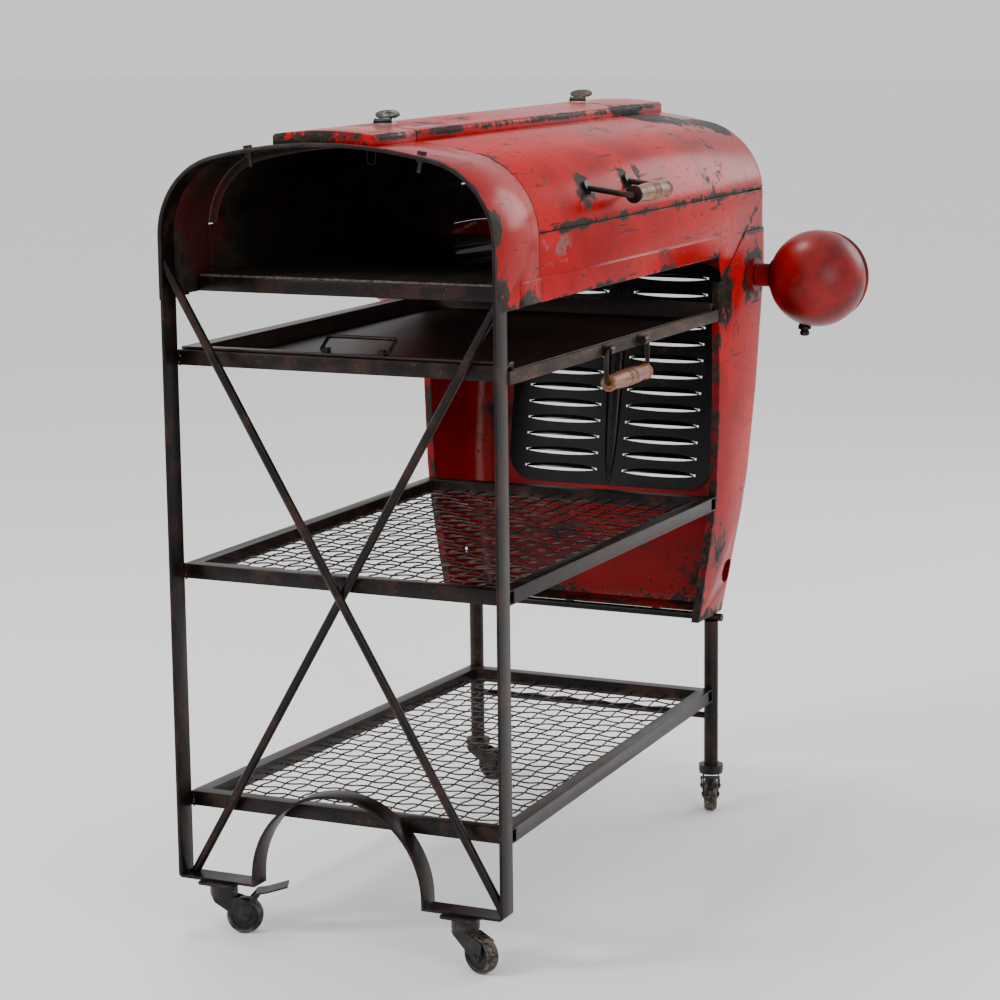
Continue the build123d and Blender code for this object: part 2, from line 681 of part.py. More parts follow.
def lid_grip():
    """Wooden grip that turns on the lid handle."""
    start = HANDLE_Y[0] + 2 * HANDLE_DIA + SIDE_PLAY
    end = HANDLE_Y[1] - 2 * HANDLE_DIA + HANDLE_DIA / 2
    return grip(HANDLE_X, HANDLE_Z - HANDLE_DROP, start, end, HANDLE_DIA + 2 * FIT)


def lid_hook():
    """Thin wire loop hanging inside the lid."""
    top = CROWN_Z + CROWN_R - SKIN - 0.1
    y = SEAM_Y + 12
    return bent_rod([(-6, y, top), (-6, y, top - 34), (6, y, top - 34), (6, y, top)], 2, 4)


# ---------------------------------------------------------------- thumb catches
def catch_bracket(x, y):
    """Folded bracket on the strip with its pin."""
    width, depth, sheet = CATCH_BASE
    bracket = box(x - width / 2, x + width / 2, y - depth / 2, y + depth / 2, STRIP_TOP,
                  STRIP_TOP + sheet)
    for side in (-1, 1):
        inner = x + side * (width / 2 - 1.5)
        outer = x + side * width / 2
        x0, x1 = min(inner, outer), max(inner, outer)
        bracket += rod((x0, y, CATCH_PIN_Z), (x1, y, CATCH_PIN_Z), 2 * CATCH_EAR)
        bracket += box(x0, x1, y - CATCH_EAR, y + CATCH_EAR, STRIP_TOP, CATCH_PIN_Z)
    pin = rod((x - width / 2, y, CATCH_PIN_Z), (x + width / 2, y, CATCH_PIN_Z), CATCH_PIN)
    return (bracket + pin).solids()[0]


def catch_lever(x, y):
    """Oval thumb lever leaning back on its pin."""
    reach = CATCH_BASE[0] / 2 - 1.5 - SIDE_PLAY
    wide, tall = CATCH_OVAL
    centre = CATCH_EAR + 0.7 + tall
    sleeve = rod((-reach, 0, 0), (reach, 0, 0), CATCH_PIN + 3)
    oval = extrude(Plane.XZ * Pos(0, centre) * Ellipse(wide, tall), amount=1, both=True)
    dish = Pos(0, -22.5, centre) * Sphere(22)
    neck = box(-6, 6, -1, 1, 1, centre - tall + 2)
    lever = sleeve + oval + neck - dish - rod((-reach, 0, 0), (reach, 0, 0), CATCH_PIN + 2 * FIT)
    return Pos(x, y, CATCH_PIN_Z) * Rot(-CATCH_LEAN, 0, 0) * lever


# ---------------------------------------------------------------- drawer tray
def tray_pan():
    """Shallow sheet pan whose hemmed rim rides over the runner frame."""
    basin = box(PAN_LEFT, PAN_RIGHT, PAN_FRONT, PAN_REAR, PAN_LOW, RIM_TOP)
    hollow = box(PAN_LEFT + SKIN, PAN_RIGHT - SKIN, PAN_FRONT + SKIN, PAN_REAR - SKIN,
                 PAN_LOW + SKIN, RIM_TOP)
    rim = box(RIM_LEFT, PAN_RIGHT, RIM_FRONT, RIM_REAR, RIM_TOP - RIM_DROP, RIM_TOP)
    under = box(RIM_LEFT + RIM_HEM, PAN_RIGHT - RIM_HEM, RIM_FRONT + RIM_HEM, RIM_REAR - RIM_HEM,
                RIM_TOP - RIM_DROP, RIM_TOP - SKIN)
    side = box(PAN_RIGHT - RIM_HEM, PAN_RIGHT, PAN_FRONT + SKIN, PAN_REAR - SKIN,
               PAN_SIDE_TOP, RIM_TOP)
    return (rim - under) + basin - hollow - side


def tray_face_bar():
    """Flat bar that closes the open side of the drawer."""
    return box(PAN_RIGHT, FACE_OUT, FACE_Y[0], FACE_Y[1], FACE_Z[0], FACE_Z[1])


def pull_eyes():
    """Weld patches with an eye for each end of the hanging handle."""
    thick, wide, tall = PULL_PATCH
    front, rear = PULL_ARMS
    eyes = []
    for y in (front + PULL_DIA + PULL_EYE / 2, rear - PULL_DIA - PULL_EYE / 2):
        patch = box(FACE_OUT, FACE_OUT + thick, y - wide / 2, y + wide / 2, PULL_Z - tall / 2,
                    PULL_Z + tall / 2)
        ends = (PULL_X, y - PULL_EYE / 2, PULL_Z), (PULL_X, y + PULL_EYE / 2, PULL_Z)
        eye = patch + rod(*ends, PULL_EYE_DIA) - rod(*ends, PULL_DIA + 2 * FIT)
        eyes.append(eye.solids()[0])
    return Compound(eyes)


def pull_rod():
    """Handle rod: both ends in the eyes, arms hanging down, grip bar below."""
    front, rear = PULL_ARMS
    tail = PULL_DIA + PULL_EYE + 1
    low = PULL_Z - PULL_DROP
    points = [(front + tail, PULL_Z), (front, PULL_Z), (front, low), (rear, low), (rear, PULL_Z),
              (rear - tail, PULL_Z)]
    return bent_rod([(PULL_X, y, z) for y, z in points], PULL_DIA, PULL_BEND)


def pull_grip():
    """Wooden grip that turns on the hanging handle."""
    play = PULL_BEND + SIDE_PLAY
    return grip(PULL_X, PULL_Z - PULL_DROP, PULL_ARMS[0] + play, PULL_ARMS[1] - play,
                PULL_DIA + 2 * FIT)


def bail_eyes():
    """Two small blocks on the rim that hold the lift bail."""
    wide, deep, tall = BAIL_EYE
    eyes = []
    for x in (BAIL_X[0] + BAIL_DIA + wide / 2, BAIL_X[1] - BAIL_DIA - wide / 2):
        block = box(x - wide / 2, x + wide / 2, BAIL_Y - deep / 2, BAIL_Y + deep / 2, RIM_TOP,
                    RIM_TOP + tall)
        bore = rod((x - wide, BAIL_Y, BAIL_Z), (x + wide, BAIL_Y, BAIL_Z), BAIL_DIA + 2 * FIT)
        eyes.append((block - bore).solids()[0])
    return Compound(eyes)


def lift_bail():
    """Wire bail that leans back over the tray."""
    left, right = BAIL_X
    tail = BAIL_DIA + BAIL_EYE[0] + 1
    y, z = BAIL_Y + BAIL_LENGTH * sin(BAIL_LEAN), BAIL_Z + BAIL_LENGTH * cos(BAIL_LEAN)
    points = [(left + tail, BAIL_Y, BAIL_Z), (left, BAIL_Y, BAIL_Z), (left, y, z), (right, y, z),
              (right, BAIL_Y, BAIL_Z), (right - tail, BAIL_Y, BAIL_Z)]
    return bent_rod(points, BAIL_DIA, BAIL_DIA)


# ---------------------------------------------------------------- headlamps
def lamp_space(reach):
    """Solid ball of the right-hand lamp, grown or shrunk to the radius reach."""
    return Pos(LAMP_X, LAMP_Y, LAMP_Z) * Sphere(reach)


def lamp_disc(start, end, radius):
    """Disc on the lamp axis between two depths measured from the ball centre."""
    return rod((LAMP_X, LAMP_Y + start, LAMP_Z), (LAMP_X, LAMP_Y + end, LAMP_Z), 2 * radius)


def stub_rod(start, end, dia):
    """Round bar on the tilt axis."""
    return rod((start, STUB_Y, STUB_Z), (end, STUB_Y, STUB_Z), dia)


def lamp_shell():
    """Ball housing cut open at the front, with the stub it tilts on."""
    ball = lamp_space(LAMP_R) + stub_rod(STUB_START, STUB_END, STUB_DIA)
    ball -= lamp_space(LAMP_R - LAMP_SHEET)
    ball -= lamp_disc(LAMP_FACE, LAMP_R, LAMP_R)
    return ball - stub_rod(STUB_START, SPIGOT_END + SIDE_PLAY, SPIGOT_DIA + 2 * FIT)


def lamp_rim():
    """Ring that holds the glass on the housing."""
    ring = lamp_disc(LAMP_FACE, LAMP_FACE + LAMP_RIM, LAMP_RIM_R)
    return ring - lamp_disc(LAMP_FACE, LAMP_FACE + LAMP_RIM, LAMP_GLASS_R)


def lamp_glass():
    """Domed lens inside the ring."""
    centre = Pos(LAMP_X, LAMP_Y + LAMP_DOME - LAMP_DOME_R, LAMP_Z)
    dome = centre * Sphere(LAMP_DOME_R) - centre * Sphere(LAMP_DOME_R - LAMP_GLASS)
    return dome & lamp_disc(LAMP_FACE, LAMP_DOME, LAMP_GLASS_R)


def lamp_reflector():
    """Bowl behind the glass with a stub for the bulb."""
    y = LAMP_Y
    profile = [(0, y - 42), (12, y - 42), (40, y - 18), (60, y + 30), (63, y + 32.8), (63, y + 34),
               (59.5, y + 34), (59, y + 31), (39, y - 17), (12, y - 40.5), (8, y - 40), (8, y - 18),
               (5, y - 13), (0, y - 12)]
    return turned(profile, LAMP_X, LAMP_Z)


def lamp_gland():
    """Cable nut under the housing."""
    nut = rod((GLAND_X, LAMP_Y, GLAND_LOW), (GLAND_X, LAMP_Y, GLAND_TOP), GLAND_DIA)
    return nut - lamp_space(LAMP_R)


def lamp_bosses():
    """Round bosses on the nose with the spigots the lamps tilt on."""
    boss = stub_rod(NOSE_LEVELS[-1][1], BOSS_END, BOSS_DIA)
    boss += stub_rod(BOSS_END, SPIGOT_END, SPIGOT_DIA)
    return Compound([boss.solids()[0], mirror(boss, Plane.YZ).solids()[0]])


# ---------------------------------------------------------------- casters
def placed(shape, x, y, heading):
    """Caster part drawn with its trail along +X, turned and moved to its swivel."""
    return Pos(x, y, 0) * Rot(0, 0, heading) * shape


def caster_mount(x, y, top):
    """Swivel housing with the bore for the stem."""
    return rod((x, y, MOUNT_LOW), (x, y, top), MOUNT_DIA) - rod(
        (x, y, MOUNT_LOW), (x, y, STEM_TOP + 1), STEM_DIA + 2 * FIT)


def caster_plates():
    """Square plates and housings under the two front feet."""
    half = PLATE_SIDE / 2
    plates = []
    for _, x, y, _, _ in CASTERS[:2]:
        plate = box(x - half, x + half, y - half, y + half, FOOT_Z - PLATE, FOOT_Z)
        plate = fillet(plate.edges().filter_by(Axis.Z), radius=6)
        plates.append((plate + caster_mount(x, y, FOOT_Z - PLATE)).solids()[0])
    return Compound(plates)


def caster_collars():
    """Round housings under the two rear pipes."""
    return Compound([caster_mount(x, y, LEG_LOW).solids()[0] for _, x, y, _, _ in CASTERS[2:]])


def caster_fork(x, y, heading, brake):
    """Swivel fork with its stem, its riveted axle and, if braked, the two lever pins."""
    fork = rod((0, 0, CROWN_LOW), (0, 0, CROWN_TOP), CROWN_DIA)
    fork += rod((0, 0, CROWN_LOW), (0, 0, STEM_TOP), STEM_DIA)
    inner = WHEEL_HALF + FORK_GAP
    for side in (-1, 1):
        start = side * inner
        fork += prism([(u, start, w) for u, w in FORK_SIDE], (0, side * FORK_SHEET, 0))
        if brake:
            u, w = BRAKE_PIN
            fork += rod((u, start, w), (u, side * (AXLE_HALF + 2), w), BRAKE_PIN_DIA)
    fork += rod((TRAIL, -AXLE_HALF, WHEEL_R), (TRAIL, AXLE_HALF, WHEEL_R), AXLE_DIA)
    return placed(fork, x, y, heading)


def caster_wheel(x, y, heading):
    """Wheel with a crowned tread and a raised hub."""
    bore, w = AXLE_DIA / 2 + FIT, WHEEL_HALF
    profile = [(bore, -w), (8, -w), (9, -w + 2), (17, -w + 2), (18.5, -w), (22, -w),
               (WHEEL_R, -w + 3), (WHEEL_R, w - 3), (22, w), (18.5, w), (17, w - 2), (9, w - 2),
               (8, w), (bore, w)]
    return placed(turned(profile, TRAIL, WHEEL_R), x, y, heading)


def caster_brake(x, y, heading):
    """Pedal lever on the fork pins: two ears and a tread plate."""
    near = WHEEL_HALF + FORK_GAP + FORK_SHEET + SIDE_PLAY
    far = near + FORK_SHEET
    lever = prism([(u, -far, w) for u, w in BRAKE_TREAD], (0, 2 * far, 0))
    for side in (-1, 1):
        ear = prism([(u, side * near, w) for u, w in BRAKE_EAR], (0, side * FORK_SHEET, 0))
        lever += ear
    u, w = BRAKE_PIN
    lever -= rod((u, -far, w), (u, far, w), BRAKE_PIN_DIA + 2 * FIT)
    return placed(lever, x, y, heading)


# ---------------------------------------------------------------- assembly
def build_all():
    """Every part by name, in working position."""
    lower = (LOWER_TOP, BAR_DEPTH, LOWER_REAR, LOWER_FRONT_HALF, LOWER_REAR_HALF)
    middle = (MIDDLE_TOP, BAR_DEPTH, NOSE_FRONT, LEVEL_HALF, LEVEL_HALF)
    runner = (RUNNER_TOP, BAR_DEPTH, NOSE_FRONT, LEVEL_HALF, LEVEL_HALF)
    floor = (FLOOR_TOP, FLOOR_FRONT, FLOOR_REAR, HOOP_OUT, HOOP_OUT)
    parts = {
        "hoop_frame": hoop_frame(), "brace_rods": brace_rods(),
        "lower_shelf_frame": level_frame(*lower, (-1, 1)), "lower_shelf_mesh": woven_mesh(*lower),
        "middle_shelf_frame": level_frame(*middle, (-1, 1)),
        "middle_shelf_mesh": woven_mesh(*middle),
        "tray_runner_frame": level_frame(*runner, (-1,)),
        "hood_floor_frame": level_frame(*floor, (-1, 1)),
        "hood_floor_boards": hood_floor_boards(),
        "hood_front_panel": hood_front_panel(), "hood_side_left": hood_side(-1),
        "hood_side_right": hood_side(1), "hood_bolts": hood_bolts(),
        "top_strip_front": top_strip(STRIP_FRONT, SEAM_Y - 0.5, False),
        "nose_shell": nose_shell(), "grille_panel": grille_panel(),
        "nose_bottom_bar": nose_bottom_bar(), "rear_legs": rear_legs(),
        "rear_leg_cross_rod": rear_leg_cross_rod(),
        "lid_hinge_fixed": Compound([hinge_leaf(y, False) for y in HINGE_Y]),
        "lid_hinge_pins": hinge_pins(), "lamp_bosses": lamp_bosses(),
        "lid_skin": lid_skin(), "top_strip_rear": top_strip_rear(),
        "lid_hinge_moving": Compound([hinge_leaf(y, True) for y in HINGE_Y]),
        "lid_handle_bar": handle_bar(), "lid_grip": lid_grip(), "lid_hook": lid_hook(),
        "catch_brackets": Compound([catch_bracket(x, y) for x, y in CATCH_AT]),
        "catch_lever_front": catch_lever(*CATCH_AT[0]),
        "catch_lever_rear": catch_lever(*CATCH_AT[1]),
        "tray_pan": tray_pan(), "tray_face_bar": tray_face_bar(), "tray_pull_eyes": pull_eyes(),
        "tray_pull_rod": pull_rod(), "tray_pull_grip": pull_grip(),
        "tray_bail_eyes": bail_eyes(), "tray_lift_bail": lift_bail(),
        "caster_plates": caster_plates(), "caster_collars": caster_collars()}
    lamp = {"shell": lamp_shell(), "rim": lamp_rim(), "glass": lamp_glass(),
            "reflector": lamp_reflector(), "gland": lamp_gland()}
    for name, piece in lamp.items():
        parts[f"lamp_{name}_right"] = piece
        parts[f"lamp_{name}_left"] = mirror(piece, Plane.YZ)
    for name, x, y, heading, brake in CASTERS:
        parts["caster_fork_" + name] = caster_fork(x, y, heading, brake)
        parts["caster_wheel_" + name] = caster_wheel(x, y, heading)
        if brake:
            parts["caster_brake_" + name] = caster_brake(x, y, heading)
    return parts


os.makedirs("parts", exist_ok=True)
for part_name, shape in build_all().items():
    export_step(Pos(0, -DEPTH_MIDDLE, 0) * shape, f"parts/{part_name}.step")
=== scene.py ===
"""Looks of a serving trolley built from a bonnet, a grille nose and a steel frame.

Laid out as an add-on: the sizes and colours are properties, each piece or group of like
pieces has an operator, and the panel in the sidebar lists them.
"""
import json
import math
import random

import bmesh
import bpy
from bpy.props import FloatProperty, FloatVectorProperty, IntProperty, PointerProperty
from mathutils import Matrix, Vector

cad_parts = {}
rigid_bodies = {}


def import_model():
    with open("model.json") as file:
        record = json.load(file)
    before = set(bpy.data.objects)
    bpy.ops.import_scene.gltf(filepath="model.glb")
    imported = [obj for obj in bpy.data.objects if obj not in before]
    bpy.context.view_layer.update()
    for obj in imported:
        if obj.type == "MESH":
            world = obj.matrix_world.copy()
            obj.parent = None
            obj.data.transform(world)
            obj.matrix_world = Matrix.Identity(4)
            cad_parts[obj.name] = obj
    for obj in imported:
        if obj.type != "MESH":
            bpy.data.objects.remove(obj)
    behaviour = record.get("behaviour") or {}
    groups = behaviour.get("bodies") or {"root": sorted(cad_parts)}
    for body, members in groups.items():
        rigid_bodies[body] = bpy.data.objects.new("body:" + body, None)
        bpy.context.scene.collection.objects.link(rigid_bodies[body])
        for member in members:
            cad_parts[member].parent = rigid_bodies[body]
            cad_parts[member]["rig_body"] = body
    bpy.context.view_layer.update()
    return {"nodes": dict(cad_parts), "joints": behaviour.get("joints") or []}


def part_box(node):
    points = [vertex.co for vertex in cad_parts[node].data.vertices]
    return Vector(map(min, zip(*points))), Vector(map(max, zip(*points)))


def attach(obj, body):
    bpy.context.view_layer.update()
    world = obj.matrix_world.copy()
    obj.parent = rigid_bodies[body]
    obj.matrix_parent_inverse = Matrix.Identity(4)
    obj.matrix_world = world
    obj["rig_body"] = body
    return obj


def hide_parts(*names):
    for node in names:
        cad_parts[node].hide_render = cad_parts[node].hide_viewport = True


bl_info = {
    "name": "Bonnet serving trolley",
    "version": (1, 0, 0),
    "blender": (4, 5, 0),
    "location": "View3D > Sidebar > Trolley",
    "description": "Builds a worn red serving trolley on its packed frame",
    "category": "Object",
}

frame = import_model()
NODES = frame["nodes"]

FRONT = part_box("hoop_frame")[0].y
LID_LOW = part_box("lid_skin")[0]
SIDE_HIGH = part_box("hood_side_right")[1]
NOSE_LOW, NOSE_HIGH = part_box("nose_shell")
STRIP_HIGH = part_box("top_strip_rear")[1]
SEAM_Z = LID_LOW.z
SEAM_Y = LID_LOW.y

# Camera: place in metres, then turn, dip and roll in degrees.
CAMERA_PLACE = (1.7902, -3.7276, 1.2826)
CAMERA_TURN = (25.438, 10.279, -0.666)
SENSOR_WIDTH = 36.0
STUDIO_HALF = 30.0

# Where the red sheets turn inwards at the rear: depth, and height of the crown's start.
ROUND_START = 0.44
CROWN_START = 0.95
NOSE_ROUND_START = 0.36

# Painted shade strips in the lid seam: distance from the middle, thickness, height, drop below the
# seam.
FLANGE_X, FLANGE_THICK, FLANGE_HIGH, FLANGE_DROP = 0.2418, 0.0009, 0.022, 0.004
FLANGE_FRONT, FLANGE_REAR = 0.006, 0.085

# Grille: rake in degrees, rows of slots, height of the first row, spacing upright, slot middle.
GRILLE_RAKE = 10.76
SLOT_ROWS = 13
SLOT_FIRST, SLOT_PITCH, SLOT_MIDDLE = 0.024, 0.0253, 0.084
SLOT_LIFT, PANEL_THICK = 0.0012, 0.0025
LIP_HALF, LIP_OUT, LIP_THICK = 0.0605, 0.008, 0.0009
RIB_HALF, RIB_OUT = 0.013, 0.007

# How much the lower mesh narrows to the rear, the lamp's sheet, and half a wheel's width.
LOWER_SHELF_NARROWING = 0.032
LAMP_WALL = 0.0015
LAMP_STEPS = 26
WHEEL_HALF = 0.0099

# Flutes of the lamp glass, in radians per metre across.
FLUTES = 520.0


# ---------------------------------------------------------------- shader arithmetic
class Signal:
    """One node output that can be used in plain arithmetic."""

    def __init__(self, paint, socket):
        self.paint = paint
        self.socket = socket

    def maths(self, operation, first, *rest):
        values = dict(enumerate((first, *rest)))
        return self.paint.node("ShaderNodeMath", {"operation": operation}, values)

    def __add__(self, other):
        return self.maths("ADD", self, other)

    __radd__ = __add__

    def __sub__(self, other):
        return self.maths("SUBTRACT", self, other)

    def __rsub__(self, other):
        return self.maths("SUBTRACT", other, self)

    def __mul__(self, other):
        return self.maths("MULTIPLY", self, other)

    __rmul__ = __mul__

    def __abs__(self):
        return self.maths("ABSOLUTE", self)

    def top(self, other):
        """The larger of two signals."""
        return self.maths("MAXIMUM", self, other)

    def rise(self, low, high):
        """0 below low, 1 above high, eased between; low above high falls instead."""
        if low > high:
            return 1 - self.rise(high, low)
        settings = {"interpolation_type": "SMOOTHSTEP"}
        return self.paint.node("ShaderNodeMapRange", settings, {0: self, 1: low, 2: high})

    def near(self, value, reach):
        """1 where the signal equals value, falling to 0 at the distance reach."""
        return abs(self - value).rise(reach, 0.0)


class Paint:
    """A material, the place on the piece, and the one method that adds a node."""

    def __init__(self, name):
        self.material = bpy.data.materials.new(name)
        self.material.use_nodes = True
        self.tree = self.material.node_tree
        self.surface = next(n for n in self.tree.nodes if n.type == "BSDF_PRINCIPLED")
        self.place = self.node("ShaderNodeTexCoord", {}, {}, "Object")
        self.x, self.y, self.z = (
            self.node("ShaderNodeSeparateXYZ", {}, {0: self.place}, axis) for axis in "XYZ")

    def node(self, kind, settings, inputs, output=0):
        """Add a node: its settings first, then the values or links of its sockets."""
        made = self.tree.nodes.new(kind)
        for key, value in settings.items():
            if key == "stops":
                while len(made.color_ramp.elements) < len(value):
                    made.color_ramp.elements.new(0.5)
                for element, (position, colour) in zip(made.color_ramp.elements, value):
                    element.position = position
                    element.color = (*colour, 1.0)
            else:
                setattr(made, key, value)
        for key, value in inputs.items():
            if isinstance(value, Signal):
                self.tree.links.new(value.socket, made.inputs[key])
            else:
                made.inputs[key].default_value = value
        return Signal(self, made.outputs[output])

    def stretched(self, scale, offset=(0.0, 0.0, 0.0)):
        """The place scaled per axis and shifted."""
        values = {"Vector": self.place, "Scale": scale, "Location": offset}
        return self.node("ShaderNodeMapping", {}, values)

    def noise(self, scale, detail=4.0, rough=0.55, place=None, warp=0.0):
        """Cloudy value around 0.5."""
        values = {"Vector": place or self.place, "Scale": scale, "Detail": detail,
                  "Roughness": rough, "Distortion": warp}
        return self.node("ShaderNodeTexNoise", {}, values, "Fac")

    def cells(self, scale, place=None, feature="F1"):
        """Distance to scattered points or to the walls between them."""
        values = {"Vector": place or self.place, "Scale": scale}
        return self.node("ShaderNodeTexVoronoi", {"feature": feature}, values, "Distance")

    def mix(self, amount, first, second):
        """Colour between two colours."""
        def full(colour):
            return colour if isinstance(colour, Signal) else (*colour, 1.0)
        values = {0: amount, 6: full(first), 7: full(second)}
        return self.node("ShaderNodeMix", {"data_type": "RGBA"}, values, 2)

    def ramp(self, amount, stops):
        """Colour read off a ramp."""
        return self.node("ShaderNodeValToRGB", {"stops": stops}, {0: amount}, "Color")

    def distance(self, point):
        """Distance from a point."""
        settings = {"operation": "DISTANCE"}
        return self.node("ShaderNodeVectorMath", settings, {0: self.place, 1: point}, "Value")

    def finish(self, colour, rough, metal=0.0, height=None, depth=0.0005, strength=0.5, **fixed):
        """Feed the surface and set its constants."""
        wanted = {"Base Color": colour, "Roughness": rough, "Metallic": metal}
        for key, value in {**wanted, **fixed}.items():
            key = key.replace("_", " ")
            if isinstance(value, Signal):
                self.tree.links.new(value.socket, self.surface.inputs[key])
            else:
                flat = (*value, 1.0) if isinstance(value, tuple) else value
                self.surface.inputs[key].default_value = flat
        if height is not None:
            values = {"Height": height, "Distance": depth, "Strength": strength}
            bump = self.node("ShaderNodeBump", {}, values, "Normal")
            self.tree.links.new(bump.socket, self.surface.inputs["Normal"])
        return self.material


MADE = {}


def once(make):
    """Keep the material a maker returns, so pieces share it."""
    def kept(*words):
        key = (make.__name__, *words)
        if key not in MADE:
            MADE[key] = make(*words)
        return MADE[key]
    return kept


# ---------------------------------------------------------------- finishes
def seam_wear(p):
    """Where the red sheets rub: seams, cut edges, the strip and the mounts."""
    seam = p.z.near(SEAM_Z, 0.012) * p.y.rise(SEAM_Y - 0.01, SEAM_Y)
    cross = p.y.near(SEAM_Y, 0.011) * p.z.rise(SEAM_Z - 0.01, SEAM_Z)
    lower = p.z.near(0.866, 0.016) * p.y.rise(NOSE_LOW.y + 0.01, NOSE_LOW.y)
    front = p.y.near(FRONT, 0.012)
    strip = abs(p.x).near(STRIP_HIGH.x, 0.007) * p.z.rise(1.074, 1.078)
    rear = p.y.near(0.49, 0.03) * p.z.rise(0.93, 1.03) * 0.6
    dip = (p.z - p.y * 0.673).near(0.631, 0.014) * p.y.rise(0.285, 0.295) * p.z.rise(0.8, 0.83)
    joint = p.z.near(NOSE_HIGH.z, 0.012) * p.y.rise(0.38, 0.4)
    nose = p.y.near(NOSE_LOW.y, 0.015) * p.z.rise(0.84, 0.83)
    foot = p.z.near(NOSE_LOW.z, 0.03)
    cap = p.y.near(FRONT + 0.007, 0.012) * p.z.rise(1.068, 1.072)
    worn = seam
    for mask in (cross, lower, front, strip, rear, dip, joint, nose, foot, cap):
        worn = worn.top(mask)
    return worn


def mount_wear(p):
    """Bare patches round the handle pads, the lamp bosses and the rear of the strip."""
    spots = [((0.246, -0.47, 0.885), 0.032), ((0.24, -0.476, 0.975), 0.03),
             ((0.246, -0.40, 0.872), 0.02), ((0.233, -0.182, 0.998), 0.045),
             ((0.233, -0.035, 1.0), 0.034), ((0.226, 0.012, 1.012), 0.02),
             ((0.25, 0.425, 0.83), 0.065),
             ((-0.25, 0.425, 0.83), 0.065), ((0.11, 0.37, 1.07), 0.075),
             ((0.165, 0.44, 1.045), 0.06), ((0.25, 0.31, 0.80), 0.05)]
    worn = None
    for point, reach in spots:
        spot = p.distance(point).rise(reach, reach * 0.35)
        worn = spot if worn is None else worn.top(spot)
    return worn


@once
def bonnet_red(kind):
    """Old gloss red over brown primer, chipped along edges and scratched."""
    p = Paint("bonnet_red_" + kind)
    tone = scene_colours()
    cloud = p.noise(5.0, 5.0, 0.6)
    fine = p.noise(55.0, 6.0, 0.62, warp=0.4)
    broad = p.noise(13.0, 6.0, 0.68, warp=0.6)
    dust = p.noise(260.0, 3.0, 0.6)
    edge = seam_wear(p)
    mount = mount_wear(p)
    blotch = p.noise(4.2, 5.0, 0.62, warp=0.8)
    score = broad * 0.55 + fine * 0.45 + edge * 0.135 + mount * 0.19
    score = score + blotch.rise(0.48, 0.66) * 0.075
    chips = score.rise(0.628, 0.642)
    rim = score.rise(0.598, 0.628) - chips
    specks = (p.cells(75.0) + fine * 0.35).rise(0.335, 0.305) * cloud.rise(0.47, 0.58)
    chips = chips.top(specks)
    along = p.noise(30.0, 3.0, 0.5, p.stretched((7.0, 0.35, 5.0)), 0.3)
    across = p.noise(34.0, 3.0, 0.5, p.stretched((0.5, 6.0, 0.7), (3.1, 1.7, 0.4)), 0.3)
    marks = along.rise(0.665, 0.68).top(across.rise(0.67, 0.685)) * cloud.rise(0.36, 0.5)
    # Partly sun fading, partly painted sheen: the crown is made paler and pinker, standing in for
    # light reflected on the top.
    fade_and_sheen = p.z.rise(0.98, 1.09) * cloud.rise(0.35, 0.7)
    # Strength of the stains per kind; the high value inside the nose shell is partly painted shade.
    soot_and_inner_shade = {"nose": 0.95, "inner": 1.6, "strip": 0.7}.get(kind, 0.55)
    stains_and_seam_shade = (blotch * 0.6 + broad * 0.4).rise(0.535, 0.66) * soot_and_inner_shade
    # Painted shade: a dark, broken line along the lid seam, where the gap between the sheets is in
    # shade; it joins the real stains.
    seam_shade_line = p.z.near(SEAM_Z, 0.0045) * p.y.rise(SEAM_Y - 0.004, SEAM_Y)
    stains_and_seam_shade = stains_and_seam_shade.top(seam_shade_line.top(p.y.near(SEAM_Y, 0.004) * 0.8) * fine.rise(0.36, 0.52))
    red = p.mix(cloud.rise(0.36, 0.64), tone.red_deep, tone.red)
    # Painted shade: inside the nose shell the red is darkened towards near-black, and the stains
    # above are made stronger there.
    if kind == "inner":
        red = p.mix(0.6, red, (0.05, 0.001, 0.0015))
    red = p.mix(fade_and_sheen * 0.4, red, tone.red_faded_and_sheen)
    red = p.mix(dust.rise(0.5, 0.75) * 0.3, red, tone.red_deep)
    red = p.mix(stains_and_seam_shade * 0.8, red, (0.018, 0.005, 0.004))
    bare = p.ramp(fine * 0.6 + dust * 0.4, [
        (0.36, (0.004, 0.003, 0.0025)), (0.49, (0.011, 0.007, 0.005)),
        (0.59, (0.03, 0.022, 0.015)), (0.70, (0.09, 0.04, 0.02))])
    colour = p.mix(rim * 0.8, red, (0.055, 0.003, 0.004))
    colour = p.mix(marks * 0.85, colour, (0.05, 0.012, 0.010))
    colour = p.mix(chips, colour, bare)
    if kind == "side":
        patch = p.y.rise(-0.352, -0.345) * p.y.rise(-0.245, -0.262)
        patch = patch * p.z.rise(0.909, 0.916) * p.z.rise(0.951, 0.944) * p.x.rise(0.20, 0.21)
        torn = (fine * 0.65 + broad * 0.35).rise(0.50, 0.53) * patch
        colour = p.mix(torn * 0.7, colour, (0.15, 0.11, 0.10))
    rough = 0.12 + cloud * 0.16 + fade_and_sheen * 0.10 + dust * 0.06 + marks * 0.2 + stains_and_seam_shade * 0.12
    rough = rough + chips * 0.2
    height = dust * 0.08 + cloud * 0.5 - chips * 0.9 - marks * 0.4 + rim * 0.3
    return p.finish(colour, rough, 0.0, height, 0.0008, 0.4, Specular_IOR_Level=0.15)


